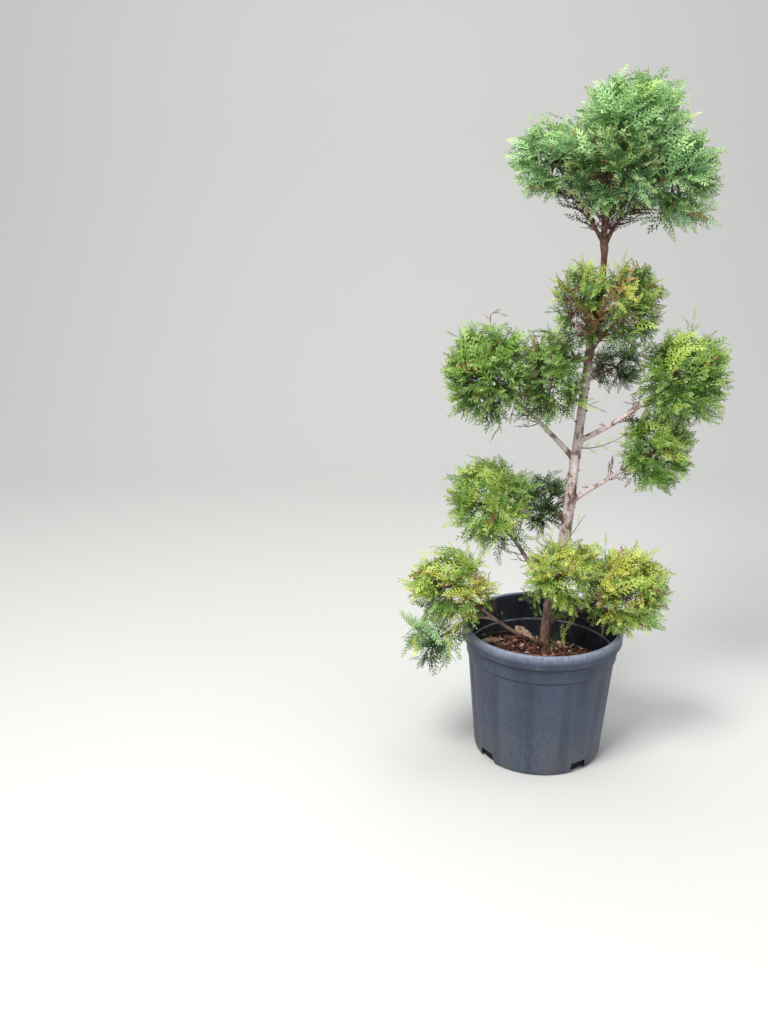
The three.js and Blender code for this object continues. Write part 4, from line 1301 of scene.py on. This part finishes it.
# %% Table of fronds that stand out, in millimetres
FRONDS = {
    "head_top": [
        ((118, -10, 1263), (126, -5, 1294), 44, "crest"), ((169, 0, 1257), (199, 5, 1277), 42, "crest"),
        ((179, -20, 1244), (191, -20, 1260), 38, "crest"), ((41, -20, 1257), (36, -20, 1277), 34, "crest"),
        ((72, 10, 1259), (67, 10, 1277), 34, "crest"),
    ],
    "head_right": [
        ((209, 10, 1220), (237, 15, 1227), 36, "skirt"), ((228, -30, 1154), (255, -35, 1167), 40, "head"),
        ((200, -45, 1082), (265, -60, 1046), 52, "head"), ((166, -50, 1062), (196, -60, 1025), 50, "head"),
        ((218, -20, 1074), (255, -30, 1039), 50, "head"), ((168, -60, 1089), (216, -75, 1041), 50, "head"),
    ],
    "head_left": [
        ((-56, -30, 1167), (-91, -40, 1157), 42, "head"), ((-40, -10, 1196), (-63, -15, 1206), 38, "head"),
        ((-28, -30, 1205), (-37, -35, 1220), 32, "skirt"), ((-62, -30, 1127), (-83, -40, 1108), 40, "head"),
    ],
    "head_front": [
        ((41, -120, 1093), (29, -125, 1058), 40, "head"),
        ((104, -130, 1109), (123, -140, 1081), 42, "crest"),
    ],
    "collar_left": [
        ((34, -40, 973), (32, -40, 1002), 34, "skirt"), ((38, -75, 940), (63, -85, 954), 38, "collar"),
        ((-4, -40, 921), (-27, -45, 946), 30, "olive"), ((44, -80, 888), (62, -85, 861), 34, "dead"),
        ((31, -60, 868), (40, -60, 832), 34, "dead"),
    ],
    "collar_right": [
        ((104, -30, 972), (111, -30, 1003), 34, "skirt"), ((95, -85, 944), (122, -95, 922), 30, "golden"),
        ((86, -85, 924), (106, -95, 904), 26, "collar"), ((147, -40, 914), (181, -45, 897), 36, "golden"),
        ((149, -20, 952), (169, -20, 966), 26, "head"), ((69, -85, 924), (59, -90, 893), 36, "dead"),
        ((122, -50, 859), (147, -55, 867), 36, "head"), ((60, -85, 951), (42, -95, 925), 34, "skirt"),
    ],
    "left_outer": [
        ((-156, -30, 863), (-162, -30, 884), 36, "skirt"), ((-185, -40, 853), (-213, -50, 864), 36, "left"),
        ((-187, -60, 814), (-206, -70, 805), 36, "left"), ((-117, -10, 894), (-85, -15, 878), 26, "dead"),
        ((-164, -60, 745), (-173, -65, 720), 38, "left"), ((-72, -40, 830), (-52, -45, 866), 50, "left"),
    ],
    "left_inner": [
        ((32, -45, 734), (72, -50, 724), 38, "skirt"), ((-21, -50, 716), (-14, -55, 686), 38, "left"),
        ((-6, -50, 866), (6, -55, 884), 34, "collar"), ((-42, -30, 832), (-58, -35, 872), 52, "skirt"),
        ((-48, -10, 812), (-74, -15, 858), 52, "left"), ((-50, -40, 728), (-70, -45, 690), 50, "left"),
    ],
    "back": [
        ((187, 60, 806), (209, 60, 821), 30, "shade"),
    ],
    "right": [
        ((245, -10, 881), (248, -10, 906), 34, "right"), ((259, -40, 835), (273, -45, 845), 34, "right"),
        ((292, -30, 788), (311, -30, 797), 36, "skirt"), ((294, -30, 723), (313, -35, 711), 38, "skirt"),
        ((215, -80, 727), (240, -85, 717), 38, "right"), ((142, -20, 724), (118, -25, 737), 30, "dead"),
    ],
    "right_low": [
        ((197, -20, 597), (208, -25, 561), 42, "right"), ((213, -30, 639), (227, -35, 621), 34, "skirt"),
        ((250, 0, 650), (268, 0, 640), 34, "right"), ((156, 10, 568), (142, 10, 544), 34, "dead"),
    ],
    "mid_left": [
        ((-145, 0, 599), (-144, 0, 621), 34, "skirt"), ((-187, -10, 578), (-206, -15, 572), 36, "left"),
        ((-58, -10, 574), (-35, -10, 586), 36, "left"), ((-97, -50, 508), (-86, -55, 481), 38, "skirt"),
        ((-50, 10, 556), (-8, 5, 566), 54, "left"), ((-48, 20, 530), (4, 10, 540), 56, "left"),
        ((-60, 0, 452), (-20, -5, 428), 54, "left"), ((-100, -20, 440), (-92, -25, 404), 46, "left"),
    ],
    "mid_back": [
        ((22, 60, 552), (37, 60, 540), 32, "shade"),
    ],
    "low_left": [
        ((-126, -60, 439), (-112, -60, 463), 36, "olive"),
        ((-238, -70, 418), (-256, -75, 432), 32, "skirt"), ((-154, -60, 340), (-146, -65, 283), 30, "left"),
        ((-114, -60, 356), (-110, -60, 325), 26, "left"),
        ((-200, -110, 366), (-198, -115, 339), 34, "left"),
    ],
    "low_droop": [
        ((-216, -85, 275), (-213, -90, 200), 72, "droop"),
        ((-189, -80, 280), (-168, -85, 232), 60, "skirt"),
        ((-240, -90, 310), (-258, -95, 256), 64, "droop"),
        ((-248, -70, 290), (-274, -75, 232), 62, "olive"),
    ],
    "low_front": [
        ((-2, -30, 472), (-37, -40, 494), 36, "skirt"), ((15, -70, 463), (9, -75, 493), 34, "skirt"),
        ((-37, -80, 426), (-57, -90, 426), 34, "golden"), ((-31, -60, 348), (-11, -50, 312), 40, "left"),
        ((26, -125, 444), (19, -130, 422), 30, "dead"),
    ],
    "low_right": [
        ((103, -60, 463), (105, -60, 489), 34, "skirt"), ((157, -60, 451), (166, -65, 475), 34, "skirt"),
        ((191, -70, 377), (218, -75, 388), 40, "golden"), ((189, -90, 340), (208, -95, 328), 38, "skirt"),
        ((140, -100, 316), (154, -105, 289), 38, "head"), ((89, -110, 370), (94, -120, 350), 32, "dead"),
        ((28, -40, 288), (19, -42, 226), 50, "skirt"),
    ],
}
SPRIGS = [
    ("low_front", [[-30, -30, 352], [-33, 0, 331], [5, 0, 290]], 24, "left"),
    ("low_front", [[25, -45, 438], [33, -20, 446], [68, -20, 507]], 24, "skirt"),
    ("right", [[53, 20, 630], [96, 8, 636], [143, 0, 664]], 20, "golden"),
    ("collar_left", [[64, -20, 840], [66, -78, 905], [103, -92, 968]], 24, "tan"),
    ("collar_left", [[68, 10, 850], [52, -50, 872], [28, -80, 905]], 20, "dead"),
    ("collar_right", [[70, 0, 850], [84, -60, 876], [112, -84, 896]], 20, "dead"),
    ("back", [[64, 30, 758], [100, 60, 776], [146, 70, 773]], 22, "shade"),
    ("left_inner", [[10, -30, 735], [39, -5, 728], [79, -15, 715]], 24, "skirt"),
]

# %% How a frond and a sprig grow
FROND_FACE = (0, -0.8, 0.5)
FROND_SIDES = 6
FROND_LEAN = 0.85
SPRIG_STEP = 13
SPRIG_POINTS = 9
FROND_POINTS = 6
FIRST_SPRAY = 0.12
DEAD_SHARE = 0.75
FROND_SHARE = 1.05
FROND_SIZES = (0.7, 0.3)


def sprays_along(stem, middle, count, size_at):
    """Sprays on both sides of a stem, with their flat side turned outwards, and the last at its end."""
    sprays = []
    stem = np.array(stem)
    ways = np.gradient(stem, axis=0)
    for order, share in enumerate(np.linspace(FIRST_SPRAY, 1, count)):
        place = share * (len(stem) - 1)
        low = min(int(place), len(stem) - 2)
        root = stem[low] + (stem[low + 1] - stem[low]) * (place - low)
        heading = unit(ways[low] + (ways[low + 1] - ways[low]) * (place - low))
        face = unit(unit(root - middle) + FROND_FACE)
        side = unit(np.cross(face, heading))
        hand = 0 if order == count - 1 else FROND_LEAN * (-1) ** order
        way = unit(heading + side * hand)
        sprays.append((root, way, np.cross(face, way), size_at(share)))
    return sprays


def grow_frond(tuft, via, end, length, palette):
    """The stem and the sprays of a frond whose tip is known."""
    end = np.array(end, float)
    heading = unit(end - via)
    foot = end - heading * length
    tips = np.array([twig[1] for twig in grown[tuft.name][1]])
    root = tips[np.argmin(np.linalg.norm(tips - foot, axis=1))]
    knee = foot - heading * 0.5 * np.linalg.norm(foot - root)
    stem = curve(root, knee, foot, FROND_POINTS)
    size = length * (DEAD_SHARE if palette == "dead" else FROND_SHARE)
    least, gain = FROND_SIZES
    return stem, sprays_along(stem, tuft.middle, FROND_SIDES, lambda share: size * (least + gain * share))


fronds = {name: [] for name in tufts}
for name, rows in FRONDS.items():
    for row in rows:
        fronds[name].append((*grow_frond(tufts[name], *row), row[-1]))
for name, places, size, palette in SPRIGS:
    first, middle, last = np.array(places, float)
    stem = curve(first, 2 * middle - (first + last) / 2, last, SPRIG_POINTS)
    count = max(3, round(length_of(stem) / SPRIG_STEP))
    fronds[name].append((stem, sprays_along(stem, tufts[name].middle, count, lambda share: size), palette))
print("fronds and sprigs:", sum(len(rows) for rows in fronds.values()))

# %% Shoots on the boughs
SHOOTS = 6
HEAD_SHOOTS = 24
SHOOT_PLACES = (0.55, 0.97)
HEAD_SHOOT_PLACES = (0.3, 0.97)
SHOOT_LEAN = 0.8
SHOOT_RISE = (0, 0, 0.3)
SHOOT_REACH = (14, 34)
SHOOT_SPRAY = (22, 38)
SHOOT_OVERLAP = 3
SHOOT_SAG = 1.5
A_STEP_ON = 0.02
SHOOT_FORK = 0.5
SHOOT_SEED = 50


def bough_spot(tuft, draw, places):
    """A point that is drawn on a bough, and the bough's way there."""
    share = draw.uniform(*places)
    root = tuft.bough_point(share)
    return root, unit(tuft.bough_point(share + A_STEP_ON) - root)


def grow_shoots(tuft, draw):
    """Small shoots at the sides of a bough, before it enters its tuft: stem, sprays and colours."""
    shoots = []
    in_head = tuft.name.startswith("head")
    for _ in range(HEAD_SHOOTS if in_head else SHOOTS):
        root, along = bough_spot(tuft, draw, HEAD_SHOOT_PLACES if in_head else SHOOT_PLACES)
        across = unit(np.cross(along, [draw.uniform(-1, 1) for _ in range(3)]))
        way = unit(SHOOT_LEAN * along + across)
        tip = root + way * draw.uniform(*SHOOT_REACH)
        sprays = []
        for hand in (-1, 1):
            heading = unit(way + SHOOT_FORK * hand * np.cross(along, across) + SHOOT_RISE)
            side = np.cross(heading, across) + SHOOT_FORK * across
            sprays.append((tip - SHOOT_OVERLAP * way, heading, unit(side), draw.uniform(*SHOOT_SPRAY)))
        shoots.append(([root, (root + tip) / 2 - (0, 0, SHOOT_SAG), tip], sprays, "under"))
    return shoots


shoots = {name: grow_shoots(tuft, random.Random(tuft.seed + SHOOT_SEED)) for name, tuft in tufts.items()}
print("shoots:", sum(len(rows) for rows in shoots.values()))

# %% [markdown]
# Colour is dealt out spray by spray. Each tuft has its own row of tints from shade to sun. A spray
# that reaches high and far out in its tuft draws from the sunny end, one low down or deep inside from
# the shady end, where old sprays also turn rust-brown. Young outer branchlets are paler.

# %% Tints and who gets them
TINTS = {
    "shade": (0.01, 0.022, 0.004),
    "deep": (0.03, 0.066, 0.013),
    "blue": (0.12, 0.27, 0.1),
    "frost": (0.3, 0.53, 0.22),
    "mid": (0.09, 0.2, 0.034),
    "bright": (0.2, 0.37, 0.06),
    "lime": (0.42, 0.56, 0.1),
    "gold": (0.58, 0.58, 0.1),
    "straw": (0.5, 0.25, 0.1),
    "rust": (0.21, 0.09, 0.04),
    "umber": (0.1, 0.05, 0.026),
}
YOUNG_TINT = (0.66, 0.8, 0.34)
YOUNG_SHARE = 0.36
OLD_YOUNG_GAIN = 1.3
OLD_TINTS = ("rust", "straw", "umber")
YOUNG_GOLD = (0.68, 0.74, 0.2)
LEAF_GLOSS = 0.26
LEAF_ROUGHNESS = 0.58
PALETTES = {
    "head": ("shade deep deep blue mid blue frost frost blue", 0.05),
    "crest": ("shade deep blue mid blue frost frost frost bright", 0.03),
    "brow": ("shade shade deep deep blue deep blue mid frost", 0.08),
    "middle": ("shade deep mid mid bright bright lime bright lime", 0.06),
    "collar": ("umber shade deep mid deep bright mid lime gold", 0.16),
    "left": ("shade deep deep mid deep bright mid bright bright", 0.07),
    "right": ("shade deep mid deep bright mid bright lime bright", 0.05),
    "shade": ("shade shade deep deep blue mid", 0.05),
    "skirt": ("umber deep bright deep lime bright lime gold lime", 0.12),
    "hem": ("umber deep mid deep lime bright gold lime gold", 0.16),
    "olive": ("umber shade deep rust mid gold bright lime gold", 0.14),
    "droop": ("shade deep blue deep blue frost frost", 0.02),
    "golden": ("bright gold lime gold lime", 0.08),
    "dead": ("umber umber umber rust rust", 0.2),
    "tan": ("straw rust straw straw", 0.1),
    "under": ("umber shade deep rust deep", 0.3),
}
leaf_finishes = {}
for tint, color in TINTS.items():
    young_color = np.array(color) * (1 - YOUNG_SHARE) + np.array(YOUNG_TINT) * YOUNG_SHARE
    if tint in OLD_TINTS:
        young_color = np.array(color) * OLD_YOUNG_GAIN
    if tint == "gold":
        young_color = np.array(YOUNG_GOLD)
    for name, shown in ((tint, color), (tint + "_young", tuple(young_color))):
        leaf_finishes[name] = plain_finish("leaf_" + name, shown, LEAF_ROUGHNESS, LEAF_GLOSS)
FINISH_NAMES = list(leaf_finishes)

HEIGHT_WEIGHT = 0.3
DEPTH_WEIGHT = 0.4
FROND_LIGHT = 0.86
CORE_LEVEL = 0.4
SHELL_LEVEL = 1.0
RUST_OUTSIDE = 0.2
RUST_INSIDE = 2


def tint_for(tuft, palette, draw, tip):
    """A tint for a spray with its tip at a place in or near a tuft, by the light it gets there."""
    place = (tip - tuft.middle) / tuft.radii
    height = np.clip(0.5 + 0.5 * place[2], 0, 1)
    out = np.clip((np.linalg.norm(place) - CORE_LEVEL) / (SHELL_LEVEL - CORE_LEVEL), 0, 1)
    light = HEIGHT_WEIGHT * height + DEPTH_WEIGHT * out
    light += (1 - HEIGHT_WEIGHT - DEPTH_WEIGHT) * draw.random()
    if palette != tuft.palette:
        light *= FROND_LIGHT
    tints, rust_share = PALETTES[palette]
    if draw.random() < rust_share * (RUST_OUTSIDE + RUST_INSIDE * (1 - out)):
        return "rust"
    row = tints.split()
    return row[min(int(light * len(row)), len(row) - 1)]


def with_kinds(draw, sprays, palette, first=0, count=LONG_KINDS):
    """Each spray with a kind that is drawn for it, and its palette."""
    return [(spray, first + draw.randrange(count), palette) for spray in sprays]


def lay_sprays(name, sprays):
    """One mesh of many sprays, each given as (root, heading, side, length, kind, tint)."""
    points = []
    faces = []
    slots = []
    total = 0
    for root, heading, side, length, kind, tint in sprays:
        shape, shape_faces, young = spray_shapes[kind]
        if np.cross(heading, side)[2] < 0:
            side = -side
        frame_of_spray = np.array([heading, side, np.cross(heading, side)]) * length
        points.append(root + shape @ frame_of_spray)
        faces.append(shape_faces + total)
        slots.append(FINISH_NAMES.index(tint) + young.astype(int))
        total += len(shape)
    slots = np.concatenate(slots)
    worn = np.unique(slots)
    piece = make_piece(name, np.concatenate(points), np.concatenate(faces), smooth=False,
                       slots=np.searchsorted(worn, slots))
    for slot in worn:
        piece.data.materials.append(leaf_finishes[FINISH_NAMES[slot]])
    return piece


# %% The sprays of every tuft
SHORT = (LONG_KINDS, SHORT_KINDS)
foliage = {}
for name, tuft in tufts.items():
    draw = random.Random(tuft.seed)
    placed = []
    for twigs in grown[name]:
        for _, _, long_sprays, short_sprays in twigs:
            placed += with_kinds(draw, long_sprays, tuft.palette)
            placed += with_kinds(draw, short_sprays, tuft.palette, *SHORT)
    for _, sprays, palette in fronds[name]:
        placed += with_kinds(draw, sprays, palette)
    for _, sprays, palette in shoots[name]:
        placed += with_kinds(draw, sprays, palette, *SHORT)
    sprays = []
    for (start, heading, side, length), kind, palette in placed:
        tip = start + heading * length
        if ((tip > REACH_LOW) & (tip < REACH_HIGH)).all():
            sprays.append((start, heading, side, length, kind, tint_for(tuft, palette, draw, tip)))
    foliage[name] = lay_sprays("sprays_" + name, sprays)
print("foliage:", sum(len(piece.data.polygons) for piece in foliage.values()), "triangles")

# %% [markdown]
# Twigs show wherever the foliage is thin, so they are real too: a stem that goes on from each bough
# into its tuft, main twigs from the stem, finer ones from those, and the stems of fronds and shoots.
# Bare twiglets are left on the boughs where sprays have died, dead ones stand thick round the trunk
# under the head, and shears left short stubs on it. All of them need only four to seven sides.

# %% Twigs
STEM_SIDES = 7
TWIG_SIDES = 5
BARE_SIDES = 4
MAIN_TWIG_RADII = (2.3, 1.9, 1.2)
FINE_TWIG_RADII = (1.2, 1.0, 0.7)
FROND_RADII = (1.2, 0.6)
SHOOT_RADII = (1.3, 1.0, 0.6)
STEM_POINTS = 6
STEM_SINK = 2
STEM_END_RADIUS = 2
STEM_BEND = 0.25
TWIG_SAG = 0.06
twig_skins = []


def add_twig(places, radii, sides):
    twig_skins.append(skin_of_rings(rings_along(places, radii, sides)))


for name, tuft in tufts.items():
    _, bend, tip = tuft.bough
    heading = unit(tip - bend)
    knee = tip + heading * STEM_BEND * np.linalg.norm(tuft.middle - tip)
    stem = curve(tip, knee, tuft.middle, STEM_POINTS)
    stem[0] = tip - heading * STEM_SINK
    add_twig(stem, np.linspace(tuft.tip_radius, STEM_END_RADIUS, STEM_POINTS), STEM_SIDES)
    main, fine = grown[name]
    for start, end, *_ in main:
        add_twig([tuft.middle, start, end], MAIN_TWIG_RADII, TWIG_SIDES)
    for start, end, *_ in fine[1:]:
        sag = (start + end) / 2 - (0, 0, TWIG_SAG * np.linalg.norm(end - start) * tuft.turn)
        add_twig([start, sag, end], FINE_TWIG_RADII, TWIG_SIDES)
    for stem, *_ in fronds[name]:
        add_twig(stem, np.linspace(*FROND_RADII, len(stem)), TWIG_SIDES)
    for stem, *_ in shoots[name]:
        add_twig(stem, SHOOT_RADII, BARE_SIDES)

# %% Bare twiglets and stubs
BARE_TWIGLETS = 4
HEAD_TWIGLETS = 24
BARE_PLACES = (0.3, 1)
BARE_LEAN = 0.6
BARE_REACH = (7, 22)
BARE_RADII = (1.1, 0.8, 0.4)
STUBS = 30
STUB_REACH = (3, 8)
STUB_RADIUS = (1.3, 2.2)
STUB_HEIGHTS = (310, 1005)
THICKET_TWIGS = 190
THICKET_HEIGHTS = (835, 930)
THICKET_REACH = (12, 38)
THICKET_RADII = (1.4, 1.0, 0.5)
THICKET_LIFT = (-0.2, 1.4)
DEAD_LENGTHS = (13, 24)
SIDE_RADII = (0.7, 0.6, 0.35)
STUB_TAPER = np.array([1.3, 1.1, 0.8])
STUB_RISE = (0, 0.8)
STUB_SIDES = 6
STUB_SINK = 0.6
TWIGLET_WANDER = 2
SIDE_TWIGLET_WANDER = 0.9
SIDE_TWIGLET_SHARE = 0.6
THICKET_SINK = 0.7
THICKET_WANDER = 3
DEAD_WANDER = 0.5
DEAD_TINTS = ("umber", "umber", "umber", "rust")
TWIGLET_SEED = 8
draw = random.Random(TWIGLET_SEED)


def gauss_way():
    return unit(np.array([draw.gauss(0, 1) for _ in range(3)]))


def trunk_side(heights):
    """Middle and radius of the trunk at a height that is drawn, and a level way out of it."""
    middle, radius = trunk_at(draw.uniform(*heights))
    bearing = draw.uniform(0, 2 * math.pi)
    return middle, radius, np.array([math.cos(bearing), math.sin(bearing), 0])


for name, tuft in tufts.items():
    for _ in range(HEAD_TWIGLETS if name.startswith("head") else BARE_TWIGLETS):
        root, along = bough_spot(tuft, draw, BARE_PLACES)
        way = unit(gauss_way() + BARE_LEAN * along)
        end = root + way * draw.uniform(*BARE_REACH)
        knee = (root + end) / 2 + TWIGLET_WANDER * gauss_way()
        add_twig([root, knee, end], BARE_RADII, BARE_SIDES)
        side_way = unit(way + SIDE_TWIGLET_WANDER * gauss_way())
        side_end = knee + side_way * SIDE_TWIGLET_SHARE * np.linalg.norm(end - root)
        add_twig([knee, (knee + side_end) / 2, side_end], SIDE_RADII, BARE_SIDES)
thicket = []
for _ in range(THICKET_TWIGS):
    middle, radius, outward = trunk_side(THICKET_HEIGHTS)
    way = unit(outward + (0, 0, draw.uniform(*THICKET_LIFT)))
    root = middle + outward * THICKET_SINK * radius
    end = root + way * draw.uniform(*THICKET_REACH)
    knee = (root + end) / 2 + THICKET_WANDER * gauss_way()
    add_twig([root, knee, end], THICKET_RADII, BARE_SIDES)
    side = np.cross(way, gauss_way())
    tint = draw.choice(DEAD_TINTS)
    kind = LONG_KINDS + draw.randrange(SHORT_KINDS)
    heading = unit(way + DEAD_WANDER * gauss_way())
    thicket.append((knee, heading, unit(side), draw.uniform(*DEAD_LENGTHS), kind, tint))
for _ in range(STUBS):
    middle, radius, outward = trunk_side(STUB_HEIGHTS)
    way = unit(outward + (0, 0, draw.uniform(*STUB_RISE)))
    reach = radius + draw.uniform(*STUB_REACH)
    thick = draw.uniform(*STUB_RADIUS)
    stub = [middle + way * far for far in (STUB_SINK * radius, radius, reach)]
    add_twig(stub, thick * STUB_TAPER, STUB_SIDES)
dead_sprays = lay_sprays("dead_sprays", thicket)
twigs = make_piece("twigs", *join_skins(twig_skins))
TWIG_STOPS = [(0.35, (0.09, 0.04, 0.026)), (0.55, (0.2, 0.1, 0.065)), (0.72, (0.36, 0.26, 0.17))]
twig_finish, tree, shader = new_finish("twig_bark", 0.8)
color_and_lift(tree, shader, ramp(tree, noise_over(tree, 70), *TWIG_STOPS))
twigs.data.materials.append(twig_finish)
print("twigs:", len(twig_skins), "in", len(twigs.data.polygons), "triangles")

# %% [markdown]
# The floor and the wall behind are one pale curved sheet, so that no line crosses the picture. A large
# soft lamp stands high at the left, another hangs overhead, a weaker one stands at the right, and the
# air itself gives most of the light, as under a bright cloudy sky.

# %% Floor, lamps and air
FLOOR_HALF = 4
WALL_DISTANCE = 3
WALL_HEIGHT = 4
CURVE_RADIUS = 1.2
CURVE_STEPS = 12
sheet_line = [(-FLOOR_HALF, 0), (WALL_DISTANCE - CURVE_RADIUS, 0)]
for step in range(1, CURVE_STEPS + 1):
    turn = math.pi / 2 * step / CURVE_STEPS
    sheet_line.append((WALL_DISTANCE - CURVE_RADIUS + CURVE_RADIUS * math.sin(turn),
                       CURVE_RADIUS - CURVE_RADIUS * math.cos(turn)))
sheet_line.append((WALL_DISTANCE, WALL_HEIGHT))
sheet_points = [(side * FLOOR_HALF / MM, y / MM, z / MM) for y, z in sheet_line for side in (-1, 1)]
sheet_faces = [(2 * k, 2 * k + 1, 2 * k + 3, 2 * k + 2) for k in range(len(sheet_line) - 1)]
backdrop = make_piece("backdrop", sheet_points, sheet_faces)
backdrop.data.materials.append(plain_finish("pale_paper", (0.7, 0.7, 0.69), 0.9))
backdrop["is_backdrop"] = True

LAMP_AIM = Vector((0, 0, 0.6))
LAMPS = {
    "key": ((-1.2, -1.5, 2.9), 1.1, 98, (1, 0.98, 0.94)),
    "top": ((0.3, 0.2, 3.3), 1.6, 38, (1, 0.99, 0.97)),
    "fill": ((1.9, -1.6, 1.5), 1.8, 12, (0.92, 0.96, 1)),
}
AIR_COLOR = (0.93, 0.96, 1, 1)
AIR_STRENGTH = 0.37
for name, (place, size, power, color) in LAMPS.items():
    lamp = bpy.data.lights.new(name, "AREA")
    lamp.size = size
    lamp.energy = power
    lamp.color = color
    holder = bpy.data.objects.new(name, lamp)
    holder.location = place
    holder.rotation_euler = (LAMP_AIM - Vector(place)).to_track_quat("-Z", "Y").to_euler()
    bpy.context.scene.collection.objects.link(holder)
air = bpy.data.worlds.new("bright_cloud")
air.use_nodes = True
glow = air.node_tree.nodes["Background"].inputs
glow["Color"].default_value = AIR_COLOR
glow["Strength"].default_value = AIR_STRENGTH
bpy.context.scene.world = air
bpy.context.scene.view_settings.view_transform = "Standard"

# %% [markdown]
# Last, every piece is hung on the body that carries it, and the solids of the frame that it stands for
# are hidden. The plant has no joints, so all of it rides on one body.

# %% Bodies, and the solids that the pieces stand for
riders = [(pot, "pot", ["pot"]), (compost, "compost", ["compost"]), (trunk, "bark", ["trunk"])]
riders += [(chips, "compost", []) for chips in chip_pieces]
riders += [(bough, "bark", ["bough_" + name]) for name, bough in boughs.items()]
riders += [(piece, "foliage", ["foliage_" + name]) for name, piece in foliage.items()]
riders += [(twigs, "bark", []), (dead_sprays, "foliage", [])]
for piece, slot, nodes in riders:
    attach(piece, "root")
    if nodes:
        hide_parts(*nodes)

# %% Sizes, and the end
VISUAL_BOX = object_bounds()
for label, box in (("solid box:", CAD_BOX), ("visual box:", VISUAL_BOX)):
    print(label, [[round(value, 3) for value in corner] for corner in box])
